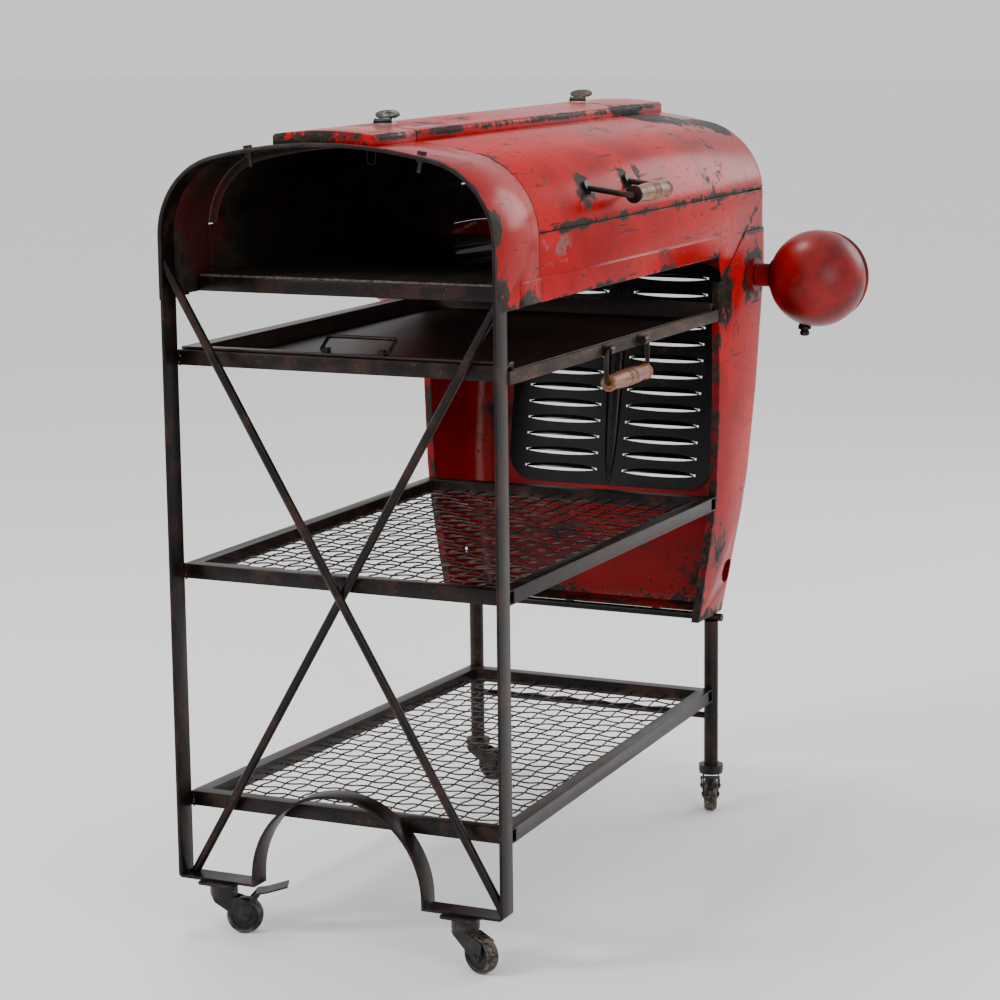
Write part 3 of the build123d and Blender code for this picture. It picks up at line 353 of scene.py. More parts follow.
@once
def bonnet_inside():
    """Dark oily underside of the bonnet, with brown and green-grey blotches."""
    p = Paint("bonnet_inside")
    cloud = p.noise(11.0, 6.0, 0.65)
    fine = p.noise(80.0, 5.0, 0.6)
    runs = p.noise(24.0, 4.0, 0.6, p.stretched((1.0, 1.0, 0.2)))
    colour = p.ramp(cloud * 0.7 + fine * 0.3, [
        (0.38, (0.006, 0.005, 0.004)), (0.5, (0.016, 0.012, 0.009)),
        (0.6, (0.034, 0.026, 0.018)), (0.7, (0.055, 0.022, 0.014))])
    colour = p.mix(runs.rise(0.6, 0.7) * 0.5, colour, (0.03, 0.026, 0.018))
    old = p.noise(6.0, 4.0, 0.6, p.stretched((1.0, 1.0, 1.0), (4.0, 2.0, 1.0)))
    colour = p.mix(old.rise(0.55, 0.63) * 0.6, colour, (0.06, 0.003, 0.004))
    return p.finish(colour, 0.36 + fine * 0.3, 0.0, cloud + fine * 0.3, 0.0008, 0.35,
                    Specular_IOR_Level=0.3)


@once
def frame_steel():
    """Dark brown lacquer over mill steel, rubbed to brown on the arrises."""
    p = Paint("frame_steel")
    tone = scene_colours()
    cloud = p.noise(22.0, 5.0, 0.6)
    fine = p.noise(190.0, 4.0, 0.6)
    drawn = p.noise(60.0, 3.0, 0.5, p.stretched((1.0, 0.12, 1.0)))
    colour = p.mix(cloud.rise(0.45, 0.68), tone.frame_dark, tone.frame_brown)
    colour = p.mix(fine.rise(0.58, 0.72) * 0.45, colour, (0.055, 0.03, 0.02))
    spots = p.cells(95.0).rise(0.14, 0.08) * cloud.rise(0.5, 0.6)
    colour = p.mix(spots * 0.7, colour, (0.10, 0.07, 0.05))
    rough = 0.16 + cloud * 0.26 + fine * 0.12
    return p.finish(colour, rough, 0.0, fine * 0.4 + drawn * 0.6, 0.0004, 0.3,
                    Specular_IOR_Level=0.2)


@once
def wire_steel():
    """Dull dark wire with paler rubbed crests."""
    p = Paint("wire_steel")
    cloud = p.noise(30.0, 4.0, 0.6)
    fine = p.noise(300.0, 3.0, 0.6)
    colour = p.mix(cloud.rise(0.45, 0.66), (0.016, 0.012, 0.010), (0.06, 0.046, 0.038))
    return p.finish(colour, 0.3 + fine * 0.3, 0.75, fine, 0.0002, 0.3)


@once
def tray_steel():
    """Smooth oiled sheet with a brown temper and long wiping marks."""
    p = Paint("tray_steel")
    cloud = p.noise(7.0, 5.0, 0.55)
    wiped = p.noise(26.0, 4.0, 0.6, p.stretched((6.0, 0.5, 1.0)))
    fine = p.noise(220.0, 4.0, 0.6)
    colour = p.mix(cloud.rise(0.36, 0.66), (0.012, 0.006, 0.005), (0.032, 0.016, 0.012))
    colour = p.mix(wiped.rise(0.54, 0.7) * 0.35, colour, (0.055, 0.03, 0.022))
    return p.finish(colour, 0.24 + wiped * 0.22, 0.25, cloud + wiped * 0.2, 0.0008, 0.3)


@once
def rusty_steel():
    """Bare flat bar gone tan and brown, with darker pitted runs."""
    p = Paint("rusty_steel")
    cloud = p.noise(18.0, 6.0, 0.68, p.stretched((1.0, 0.5, 1.6)))
    fine = p.noise(150.0, 5.0, 0.65)
    pits = p.cells(210.0).rise(0.22, 0.1)
    colour = p.ramp(cloud * 0.65 + fine * 0.35, [
        (0.38, (0.010, 0.006, 0.005)), (0.5, (0.032, 0.017, 0.011)),
        (0.58, (0.085, 0.045, 0.025)), (0.68, (0.21, 0.125, 0.065))])
    colour = p.mix(pits * 0.5, colour, (0.03, 0.018, 0.012))
    return p.finish(colour, 0.48 + fine * 0.25, 0.35, fine - pits * 0.8, 0.0005, 0.5)


@once
def bright_plate():
    """Plated hardware, tarnished in the hollows."""
    p = Paint("bright_plate")
    cloud = p.noise(45.0, 5.0, 0.6)
    fine = p.noise(400.0, 3.0, 0.6)
    colour = p.ramp(cloud, [(0.4, (0.16, 0.145, 0.125)), (0.54, (0.42, 0.40, 0.37)),
                            (0.68, (0.60, 0.59, 0.57))])
    return p.finish(colour, 0.24 + cloud * 0.3, 0.95, fine, 0.0002, 0.3)


@once
def dark_hardware():
    """Blackened fork and plate metal with oily dust and bare rubbed spots."""
    p = Paint("dark_hardware")
    cloud = p.noise(60.0, 5.0, 0.62)
    fine = p.noise(320.0, 4.0, 0.6)
    colour = p.ramp(cloud * 0.7 + fine * 0.3, [
        (0.42, (0.007, 0.006, 0.006)), (0.56, (0.018, 0.015, 0.013)),
        (0.65, (0.045, 0.034, 0.027)), (0.75, (0.20, 0.175, 0.15))])
    return p.finish(colour, 0.22 + fine * 0.3, 0.15, fine, 0.0003, 0.4,
                    Specular_IOR_Level=0.3)


@once
def black_enamel():
    """Thick black gloss, dusty in patches and worn brown on the slot lips."""
    p = Paint("black_enamel")
    cloud = p.noise(16.0, 5.0, 0.6)
    fine = p.noise(240.0, 4.0, 0.6)
    colour = p.mix(cloud.rise(0.5, 0.7) * 0.7, (0.003, 0.003, 0.004), (0.014, 0.011, 0.009))
    colour = p.mix((cloud * 0.5 + fine * 0.5).rise(0.6, 0.65) * 0.6, colour, (0.05, 0.03, 0.02))
    return p.finish(colour, 0.13 + cloud * 0.2, 0.0, cloud + fine * 0.2, 0.0005, 0.3,
                    Specular_IOR_Level=0.25)


@once
def stained_board():
    """Boards stained almost black, grain showing along the trolley."""
    p = Paint("stained_board")
    grain = p.noise(40.0, 6.0, 0.62, p.stretched((5.0, 0.22, 5.0)), 0.6)
    cloud = p.noise(7.0, 4.0, 0.6)
    pores = p.noise(170.0, 3.0, 0.6, p.stretched((4.0, 0.25, 4.0)))
    lip = p.y.near(FRONT + 0.1, 0.006)
    colour = p.mix(grain.rise(0.36, 0.66), (0.006, 0.004, 0.003), (0.028, 0.017, 0.012))
    colour = p.mix(cloud.rise(0.45, 0.7) * 0.4, colour, (0.03, 0.02, 0.014))
    colour = p.mix(lip * grain.rise(0.4, 0.6) * 0.8, colour, (0.10, 0.065, 0.042))
    return p.finish(colour, 0.42 + pores * 0.3, 0.0, grain * 0.7 + pores * 0.5, 0.0006, 0.5,
                    Coat_Weight=0.15)


@once
def turned_wood():
    """Warm turned wood: long grain, darker in the grooves, polished by hands."""
    p = Paint("turned_wood")
    tone = scene_colours()
    grain = p.noise(85.0, 6.0, 0.65, p.stretched((3.0, 0.16, 3.0)), 0.8)
    rings = p.noise(26.0, 3.0, 0.5, p.stretched((2.5, 0.3, 2.5)))
    pores = p.noise(420.0, 3.0, 0.6, p.stretched((3.0, 0.2, 3.0)))
    groove = p.node("ShaderNodeAttribute", {"attribute_name": "groove"}, {}, "Fac")
    colour = p.mix(grain.rise(0.36, 0.66), tone.wood_dark, tone.wood)
    colour = p.mix(rings.rise(0.5, 0.68) * 0.45, colour, tone.wood_dark)
    colour = p.mix(pores.rise(0.58, 0.7) * 0.5, colour, (0.10, 0.045, 0.02))
    colour = p.mix(groove * 0.85, colour, (0.045, 0.022, 0.012))
    return p.finish(colour, 0.34 + pores * 0.25, 0.0, grain * 0.5 + pores * 0.5, 0.0003, 0.4,
                    Coat_Weight=0.2, Coat_Roughness=0.25)


@once
def lamp_red():
    """The lamp balls: smoother, more orange red with a dull bloom and few chips."""
    p = Paint("lamp_red")
    tone = scene_colours()
    cloud = p.noise(14.0, 5.0, 0.6)
    fine = p.noise(120.0, 6.0, 0.65, warp=0.3)
    rub = p.noise(34.0, 6.0, 0.66, p.stretched((1.0, 2.2, 1.0)))
    chips = (cloud * 0.35 + fine * 0.65).rise(0.652, 0.668)
    colour = p.mix(cloud.rise(0.36, 0.66), tone.lamp_deep, tone.lamp)
    colour = p.mix(rub.rise(0.52, 0.7) * 0.35, colour, (0.20, 0.020, 0.014))
    colour = p.mix(chips * 0.9, colour, (0.06, 0.02, 0.014))
    rough = 0.25 + rub * 0.2 + chips * 0.25
    return p.finish(colour, rough, 0.0, cloud * 0.6 + fine * 0.1 - chips * 0.6, 0.0005, 0.35,
                    Specular_IOR_Level=0.3)


@once
def lens_glass():
    """Pressed lens glass with upright flutes."""
    p = Paint("lens_glass")
    smear = p.noise(30.0, 4.0, 0.6)
    across = p.x * FLUTES
    flutes = across.maths("SINE", across)
    return p.finish((0.86, 0.9, 0.9), 0.06 + smear * 0.12, 0.0, flutes + smear * 0.3, 0.0007, 0.6,
                    Transmission_Weight=0.9, IOR=1.5)


@once
def reflector_silver():
    """Old silvered bowl with a faint yellow bloom."""
    p = Paint("reflector_silver")
    cloud = p.noise(22.0, 4.0, 0.6)
    colour = p.mix(cloud.rise(0.45, 0.7), (0.80, 0.79, 0.76), (0.62, 0.57, 0.46))
    return p.finish(colour, 0.14 + cloud * 0.2, 0.95, cloud, 0.0003, 0.2)


@once
def caster_tyre():
    """Black moulded wheel, its tread scuffed grey-brown."""
    p = Paint("caster_tyre")
    cloud = p.noise(70.0, 5.0, 0.62)
    fine = p.noise(350.0, 3.0, 0.6)
    tread = p.node("ShaderNodeAttribute", {"attribute_name": "tread"}, {}, "Fac")
    colour = p.mix(cloud.rise(0.42, 0.68), (0.005, 0.005, 0.005), (0.018, 0.016, 0.015))
    worn = tread * (cloud * 0.7 + fine * 0.3).rise(0.47, 0.62)
    colour = p.mix(worn * 0.75, colour, (0.16, 0.125, 0.09))
    return p.finish(colour, 0.28 + fine * 0.2 + worn * 0.3, 0.0, fine, 0.0003, 0.4,
                    Specular_IOR_Level=0.25)


@once
def weld_metal():
    """Weld beads: dark, glossy and burnt blue-brown."""
    p = Paint("weld_metal")
    cloud = p.noise(120.0, 4.0, 0.6)
    colour = p.ramp(cloud, [(0.38, (0.02, 0.017, 0.015)), (0.52, (0.06, 0.045, 0.035)),
                            (0.66, (0.20, 0.17, 0.145))])
    return p.finish(colour, 0.2 + cloud * 0.3, 0.8, cloud, 0.0004, 0.5)


@once
def pale_floor():
    """Plain pale studio floor."""
    p = Paint("pale_floor")
    soft = p.noise(1.5, 3.0, 0.5)
    colour = p.mix(soft, (0.93, 0.93, 0.93), (0.95, 0.95, 0.95))
    return p.finish(colour, 0.6)


# ---------------------------------------------------------------- settings
def colour_property(name, text, default):
    """One colour a user may change."""
    return FloatVectorProperty(name=name, description=text, subtype="COLOR", size=3, min=0.0,
                               max=1.0, default=default)


class TrolleyColours(bpy.types.PropertyGroup):
    """Colours of the trolley."""

    red: colour_property("Red", "Gloss red of the bonnet and nose", (0.47, 0.0008, 0.0030))
    red_deep: colour_property("Deep red", "Darker patches in the red", (0.27, 0.0006, 0.0020))
    # Partly sun-bleached red, partly a painted sheen of light on the crown.
    red_faded_and_sheen: colour_property("Faded red", "Sun-bleached red on the crown", (0.50, 0.012, 0.016))
    lamp: colour_property("Lamp red", "Red of the lamp balls", (0.27, 0.002, 0.003))
    lamp_deep: colour_property("Deep lamp red", "Darker red of the lamps", (0.09, 0.001, 0.002))
    frame_dark: colour_property("Frame", "Lacquer on the steel frame", (0.0045, 0.0028, 0.0024))
    frame_brown: colour_property("Frame wear", "Brown showing through", (0.028, 0.011, 0.008))
    wood: colour_property("Wood", "Light grain of the grips", (0.34, 0.125, 0.038))
    wood_dark: colour_property("Dark wood", "Dark grain of the grips", (0.13, 0.040, 0.013))


class TrolleySizes(bpy.types.PropertyGroup):
    """Sizes of the detail that the looks add to the frame."""

    mesh_pitch: FloatProperty(name="Mesh pitch", description="Spacing of the shelf wires",
                              default=0.027, min=0.01, unit="LENGTH")
    mesh_wire: FloatProperty(name="Mesh wire", description="Thickness of the shelf wires",
                             default=0.0024, min=0.001, unit="LENGTH")
    weld_size: FloatProperty(name="Weld bead", description="Width of a weld bead",
                             default=0.005, min=0.001, unit="LENGTH")
    focal_length: FloatProperty(name="Focal length", description="Lens of the camera in mm",
                                default=104.31, min=10.0)
    ring_steps: IntProperty(name="Turning steps", description="Steps round a turned piece",
                            default=56, min=16)


def scene_colours():
    """The colour settings of this scene."""
    return bpy.context.scene.trolley_colours


def scene_sizes():
    """The size settings of this scene."""
    return bpy.context.scene.trolley_sizes


# ---------------------------------------------------------------- mesh helpers
def settle(name, mesh, materials, body, replaces=(), angle=35.0):
    """Turn a bmesh into a finished piece that rides on a body."""
    data = bpy.data.meshes.new(name)
    mesh.to_mesh(data)
    mesh.free()
    piece = bpy.data.objects.new(name, data)
    bpy.context.scene.collection.objects.link(piece)
    for material in materials if isinstance(materials, (list, tuple)) else [materials]:
        data.materials.append(material)
    data.shade_smooth()
    data.set_sharp_from_angle(angle=math.radians(angle))
    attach(piece, body)
    if replaces:
        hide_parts(*replaces)
    return piece


def dress(material, *nodes):
    """Give CAD pieces whose shape is right a finish of their own."""
    for node in nodes:
        for slot in NODES[node].material_slots:
            slot.material = material


def softened(node, bevel, angle=32.0):
    """A merged copy of a CAD node with its sharp edges slightly rounded."""
    mesh = bmesh.new()
    mesh.from_mesh(NODES[node].data)
    bmesh.ops.remove_doubles(mesh, verts=mesh.verts, dist=0.00002)
    bmesh.ops.dissolve_limit(mesh, angle_limit=math.radians(0.6), verts=mesh.verts,
                             edges=mesh.edges)
    if bevel:
        sharp = [edge for edge in mesh.edges if len(edge.link_faces) == 2
                 and edge.calc_face_angle(0.0) > math.radians(angle)]
        bmesh.ops.bevel(mesh, geom=sharp, offset=bevel, offset_type="OFFSET", affect="EDGES",
                        segments=2, profile=0.5, material=-1, clamp_overlap=True)
    return mesh


def body_of(node):
    """The body a CAD node rides on."""
    return NODES[node]["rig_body"]


def stand_in(node, material, bevel=0.0004, inner=None, outward=None):
    """Show a softened copy of a node, with a second finish on its inner faces if given."""
    mesh = softened(node, bevel)
    if inner is not None:
        for face in mesh.faces:
            away = outward(face.calc_center_median())
            face.material_index = int(face.normal.dot(away) < 0.3)
    materials = [material] if inner is None else [material, inner]
    return settle(node + "_look", mesh, materials, body_of(node), [node])


def turned(name, profile, axis, centre, material, body, replaces=(), angle=40.0):
    """Spin a profile of (radius, along) points about an axis through centre."""
    mesh = bmesh.new()
    side = Vector((0, 0, 1)) if abs(axis.z) < 0.9 else Vector((1, 0, 0))
    verts = [mesh.verts.new(centre + side * radius + axis * along) for radius, along in profile]
    edges = [mesh.edges.new(pair) for pair in zip(verts, verts[1:])]
    bmesh.ops.spin(mesh, geom=verts + edges, cent=centre, axis=axis, angle=math.tau,
                   steps=scene_sizes().ring_steps, use_merge=True)
    bmesh.ops.remove_doubles(mesh, verts=mesh.verts, dist=0.000005)
    bmesh.ops.recalc_face_normals(mesh, faces=mesh.faces)
    return settle(name, mesh, material, body, replaces, angle)


def mark(piece, name, measure):
    """Store a number per vertex that a finish reads."""
    store = piece.data.attributes.new(name, "FLOAT", "POINT")
    store.data.foreach_set("value", [measure(v.co) for v in piece.data.vertices])


def lumps(mesh, spots, size, rng):
    """Add small flattened lumps at the spots, as weld beads and spatter."""
    for spot in spots:
        made = bmesh.ops.create_icosphere(mesh, subdivisions=2, radius=size * rng.uniform(0.7, 1.1))
        stretch = Vector((rng.uniform(0.9, 1.2), rng.uniform(0.8, 1.2), rng.uniform(0.75, 1.0)))
        bmesh.ops.scale(mesh, verts=made["verts"], vec=stretch)
        wobble = Vector([rng.uniform(-0.3, 0.3) * size for _ in range(3)])
        bmesh.ops.translate(mesh, verts=made["verts"], vec=Vector(spot) + wobble)


# ---------------------------------------------------------------- operators
class Piece:
    """Shared wording of the operators."""

    bl_options = {"REGISTER", "UNDO"}


class TROLLEY_OT_stage(Piece, bpy.types.Operator):
    """Pale floor, soft lights and the camera"""

    bl_idname = "trolley.stage"
    bl_label = "Stage"

    def execute(self, context):
        mesh = bmesh.new()
        bmesh.ops.create_grid(mesh, x_segments=2, y_segments=2, size=STUDIO_HALF)
        data = bpy.data.meshes.new("floor")
        mesh.to_mesh(data)
        mesh.free()
        floor = bpy.data.objects.new("floor", data)
        data.materials.append(pale_floor())
        context.scene.collection.objects.link(floor)
        world = bpy.data.worlds.new("studio")
        world.use_nodes = True
        ground = world.node_tree.nodes["Background"]
        ground.inputs["Color"].default_value = (1.0, 1.0, 1.0, 1.0)
        ground.inputs["Strength"].default_value = 0.95
        context.scene.world = world
        lights = [("key", (-2.6, -2.9, 2.9), (0, 0, 0.7), 1.0, 95.0),
                  ("fill", (3.2, -2.2, 1.7), (0, 0, 0.6), 2.0, 42.0),
                  ("crown", (-0.9, 0.4, 3.4), (0, 0, 1.0), 0.7, 30.0),
                  ("rear", (1.6, 3.2, 2.0), (0, 0.2, 0.7), 1.6, 30.0)]
        for name, place, aim, size, power in lights:
            lamp = bpy.data.lights.new(name, "AREA")
            lamp.shape, lamp.size, lamp.energy = "SQUARE", size, power
            holder = bpy.data.objects.new(name, lamp)
            holder.location = place
            way = Vector(aim) - Vector(place)
            holder.rotation_euler = way.to_track_quat("-Z", "Y").to_euler()
            context.scene.collection.objects.link(holder)
        self.camera(context)
        return {"FINISHED"}

    def camera(self, context):
        """Camera at chest height, in front of the trolley and to its right."""
        turn, dip, roll = (math.radians(v) for v in CAMERA_TURN)
        ahead = Vector((-math.sin(turn) * math.cos(dip), math.cos(turn) * math.cos(dip),
                        -math.sin(dip)))
        level = ahead.cross(Vector((0, 0, 1))).normalized()
        up = level.cross(ahead)
        right = level * math.cos(roll) + up * math.sin(roll)
        top = up * math.cos(roll) - level * math.sin(roll)
        data = bpy.data.cameras.new("camera")
        data.sensor_width = SENSOR_WIDTH
        data.lens = scene_sizes().focal_length
        data.clip_end = 200.0
        holder = bpy.data.objects.new("camera", data)
        turn_to = Matrix((right, top, -ahead)).transposed()
        holder.matrix_world = Matrix.Translation(CAMERA_PLACE) @ turn_to.to_4x4()
        context.scene.collection.objects.link(holder)
        context.scene.camera = holder


class TROLLEY_OT_bonnet(Piece, bpy.types.Operator):
    """Red bonnet sheets with their dark inside"""

    bl_idname = "trolley.bonnet"
    bl_label = "Bonnet"

    def execute(self, context):
        def outward(point):
            round_end = max(point.y - ROUND_START, 0.0) * 6
            crown = max(point.z - CROWN_START, 0.0)
            return Vector((point.x, round_end, crown)).normalized()

        def lid_outward(point):
            return (outward(point) * 0.1 + Vector((0.0, 0.0, 0.008))).normalized()

        for node in ("hood_front_panel", "hood_side_left", "hood_side_right"):
            stand_in(node, bonnet_red("side"), 0.0004, bonnet_inside(), outward)
        stand_in("lid_skin", bonnet_red("lid"), 0.0004, bonnet_inside(), lid_outward)
        for node in ("top_strip_front", "top_strip_rear"):
            stand_in(node, bonnet_red("strip"), 0.0006)
        self.flanges()
        dress(bright_plate(), "lid_hinge_fixed", "lid_hinge_moving", "lid_hinge_pins")
        dress(wire_steel(), "lid_hook")
        return {"FINISHED"}

    def flanges(self):
        """Thin dark strips inside the lid seam, put there as painted shade: they stop light showing
        through the gap.
        """
        mesh = bmesh.new()
        start, end = SEAM_Y + FLANGE_FRONT, SIDE_HIGH.y - FLANGE_REAR
        for side in (-1, 1):
            strip = bmesh.ops.create_cube(mesh, size=1.0)["verts"]
            size = Vector((FLANGE_THICK, end - start, FLANGE_HIGH))
            bmesh.ops.scale(mesh, verts=strip, vec=size)
            place = Vector((side * FLANGE_X, (start + end) / 2, SEAM_Z - FLANGE_DROP))
            bmesh.ops.translate(mesh, verts=strip, vec=place)
        bmesh.ops.bevel(mesh, geom=list(mesh.edges), offset=0.0003, offset_type="OFFSET",
                        affect="EDGES", segments=2, profile=0.5, material=-1)
        settle("seam_shade_flanges", mesh, bonnet_inside(), "chassis")


class TROLLEY_OT_nose(Piece, bpy.types.Operator):
    """Red nose shell, its bosses and the bar below it"""

    bl_idname = "trolley.nose"
    bl_label = "Nose"

    def execute(self, context):
        def outward(point):
            rear = max(point.y - NOSE_ROUND_START, 0.0) * 3
            return Vector((point.x, rear, 0.0)).normalized()

        stand_in("nose_shell", bonnet_red("nose"), 0.0005, bonnet_red("inner"), outward)
        dress(lamp_red(), "lamp_bosses")
        dress(frame_steel(), "nose_bottom_bar")
        return {"FINISHED"}


class TROLLEY_OT_grille(Piece, bpy.types.Operator):
    """Black grille with pressed louvres"""

    bl_idname = "trolley.grille"
    bl_label = "Grille"

    def execute(self, context):
        dress(black_enamel(), "grille_panel")
        mesh = bmesh.new()
        rake = math.radians(GRILLE_RAKE)
        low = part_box("grille_panel")[0]
        foot = Vector((0.0, low.y + PANEL_THICK * math.cos(rake), low.z))
        up = Vector((0.0, math.sin(rake), math.cos(rake)))
        inward = Vector((0.0, -math.cos(rake), math.sin(rake)))
        for row in range(SLOT_ROWS):
            height = SLOT_FIRST + row * SLOT_PITCH / math.cos(rake)
            for side in (-1, 1):
                centre = foot + up * (height - SLOT_LIFT) + inward * PANEL_THICK
                self.lip(mesh, centre + Vector((side * SLOT_MIDDLE, 0.0, 0.0)), up, inward)
        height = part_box("grille_panel")[1].z - low.z
        middle = foot + up * (height / 2) + inward * PANEL_THICK
        turn = Matrix((Vector((1, 0, 0)), up, inward)).transposed().to_4x4()
        rib = Matrix.Diagonal((RIB_HALF, height * 0.49, RIB_OUT, 1.0))
        form = Matrix.Translation(middle) @ turn @ rib
        bmesh.ops.create_uvsphere(mesh, u_segments=20, v_segments=24, radius=1.0, matrix=form)
        settle("grille_louvres", mesh, black_enamel(), "chassis")
        return {"FINISHED"}

    def lip(self, mesh, centre, up, inward):
        """Quarter of a long dome standing over the top of one slot."""
        turn = Matrix((Vector((1, 0, 0)), up, inward)).transposed().to_4x4()
        size = Matrix.Diagonal((LIP_HALF, LIP_OUT, LIP_OUT, 1.0))
        form = Matrix.Translation(centre) @ turn @ size
        dome = bmesh.ops.create_uvsphere(mesh, u_segments=24, v_segments=16, radius=1.0,
                                         matrix=form)["verts"]
        for normal in (-up, -inward):
            geom = list({item for vert in dome if vert.is_valid
                         for item in (vert, *vert.link_edges, *vert.link_faces)})
            kept = bmesh.ops.bisect_plane(mesh, geom=geom, dist=0.000002, plane_co=centre,
                                          plane_no=normal, clear_outer=True)["geom"]
            dome = [item for item in kept if isinstance(item, bmesh.types.BMVert)]
        faces = list({face for vert in dome for face in vert.link_faces})
        bmesh.ops.solidify(mesh, geom=faces, thickness=LIP_THICK)


class TROLLEY_OT_frame(Piece, bpy.types.Operator):
    """Hoop, crossed rods, shelf frames and rear legs"""

    bl_idname = "trolley.frame"
    bl_label = "Frame"

    def execute(self, context):
        for node in ("hoop_frame", "lower_shelf_frame", "middle_shelf_frame",
                     "tray_runner_frame", "hood_floor_frame"):
            stand_in(node, frame_steel(), 0.0008)
        dress(frame_steel(), "brace_rods", "rear_legs", "rear_leg_cross_rod")
        return {"FINISHED"}


class TROLLEY_OT_mesh(Piece, bpy.types.Operator):
    """Woven wire on the two shelves"""

    bl_idname = "trolley.mesh"
    bl_label = "Woven mesh"

    def execute(self, context):
        for index, name in enumerate(("lower", "middle")):
            self.weave(name, random.Random(40 + index))
        return {"FINISHED"}

    def weave(self, name, rng):
        """Crossing wires that pass over and under each other."""
        low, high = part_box(f"{name}_shelf_mesh")
        pitch = scene_sizes().mesh_pitch
        middle = (low.z + high.z) / 2
        wide = high.x
        narrow = wide - (LOWER_SHELF_NARROWING if name == "lower" else 0.0)
        taper = (wide - narrow) / (high.y - low.y)
        mesh = bmesh.new()
        columns = int(wide / pitch)
        for column in range(-columns, columns + 1):
            x = column * pitch
            end = high.y if abs(x) < narrow else low.y + (wide - abs(x)) / taper
            self.wire(mesh, Vector((x, low.y, middle)), Vector((x, end, middle)), column, rng)
        for row in range(1, int((high.y - low.y) / pitch) + 1):
            y = low.y + row * pitch
            half = wide - taper * (y - low.y)
            self.wire(mesh, Vector((-half, y, middle)), Vector((half, y, middle)), row + 1, rng)
        settle(f"{name}_shelf_weave", mesh, wire_steel(), "chassis",
               [f"{name}_shelf_mesh"])

    def wire(self, mesh, start, end, phase, rng):
        """One wire: a thin tube, divided along its run and waved."""
        pitch, thick = scene_sizes().mesh_pitch, scene_sizes().mesh_wire
        run = end - start
        if run.length < pitch / 2:
            return
        along = run.normalized()
        turn = Vector((0, 0, 1)).rotation_difference(along).to_matrix().to_4x4()
        first = len(mesh.verts)
        ring = bmesh.ops.create_circle(mesh, segments=6, radius=thick / 2,
                                       matrix=Matrix.Translation(start) @ turn)["verts"]
        edges = list({edge for vert in ring for edge in vert.link_edges})
        grown = bmesh.ops.extrude_edge_only(mesh, edges=edges)["geom"]
        far = [item for item in grown if isinstance(item, bmesh.types.BMVert)]
        bmesh.ops.translate(mesh, verts=far, vec=run)
        long_edges = [item for item in {edge for vert in far for edge in vert.link_edges}
                      if abs((item.verts[0].co - item.verts[1].co).dot(along)) > thick]
        bmesh.ops.subdivide_edges(mesh, edges=long_edges, cuts=max(int(run.length / pitch * 3), 2))
        side = along.cross(Vector((0, 0, 1)))
        sway, drift = rng.uniform(0.0004, 0.0011), rng.uniform(0.0, math.tau)
        kink = rng.uniform(0.6, 1.4)
        mesh.verts.ensure_lookup_table()
        for vert in mesh.verts[first:]:
            way = (vert.co - start).dot(along)
            wave = math.cos(math.pi * way / pitch + math.pi * phase)
            slack = max(min(way, run.length - way, pitch) / pitch, 0.0)
            vert.co.z += wave * thick * 0.52
            vert.co += side * slack * (sway * math.sin(way * 9.0 * kink + drift)
                                       + 0.00025 * math.sin(math.pi * way / pitch + drift))


class TROLLEY_OT_boards(Piece, bpy.types.Operator):
    """Stained boards under the bonnet"""

    bl_idname = "trolley.boards"
    bl_label = "Boards"

    def execute(self, context):
        stand_in("hood_floor_boards", stained_board(), 0.0004)
        return {"FINISHED"}


class TROLLEY_OT_drawer(Piece, bpy.types.Operator):
    """Drawer pan, its rusty bar, eyes, handle rod and small bail"""

    bl_idname = "trolley.drawer"
    bl_label = "Drawer"

    def execute(self, context):
        stand_in("tray_pan", tray_steel(), 0.0005)
        stand_in("tray_face_bar", rusty_steel(), 0.0006)
        dress(frame_steel(), "tray_pull_eyes", "tray_pull_rod", "tray_bail_eyes",
              "tray_lift_bail", "lid_handle_bar")
        return {"FINISHED"}


class TROLLEY_OT_grips(Piece, bpy.types.Operator):
    """Turned wooden grips"""

    bl_idname = "trolley.grips"
    bl_label = "Grips"

    def execute(self, context):
        self.grip("tray_pull_grip", "drawer_pull_grip", 0.00335)
        self.grip("lid_grip", "lid_handle_grip", 0.0041)
        return {"FINISHED"}

    def grip(self, node, body, bore):
        """Barrel with dished flanges, rolled ends and two pairs of grooves."""
        low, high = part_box(node)
        centre = (low + high) / 2
        half, radius = (high.y - low.y) / 2, (high.x - low.x) / 2
        shape = [(bore, -half + 0.0015), (0.55, -half + 0.001), (0.72, -half),
                 (0.86, -half + 0.0004), (0.93, -half + 0.002), (0.93, -half + 0.0042),
                 (0.85, -half + 0.006), (0.77, -half + 0.0085), (0.79, -half + 0.012),
                 (0.86, -half * 0.66), (0.94, -half * 0.44), (0.985, -half * 0.26)]
        cut = half * 0.17
        grooves = [(0.99, -cut - 0.0016), (0.90, -cut), (0.99, -cut + 0.0016),
                   (0.99, -cut + 0.0042), (0.90, -cut + 0.0058), (0.995, -cut + 0.0074)]
        left = [(r if r == bore else r * radius, y) for r, y in shape + grooves]
        left.append((radius, 0.0))
        right = [(r, -y) for r, y in reversed(left[:-1])]
        piece = turned(node + "_look", left + right + [left[0]], Vector((0, 1, 0)), centre,
                       turned_wood(), body, [node], 50.0)
        mark(piece, "groove", lambda co: max(0.0, 1.0 - abs(abs(co.y - centre.y) - cut + 0.0029)
                                              / 0.0045) * 0.8)


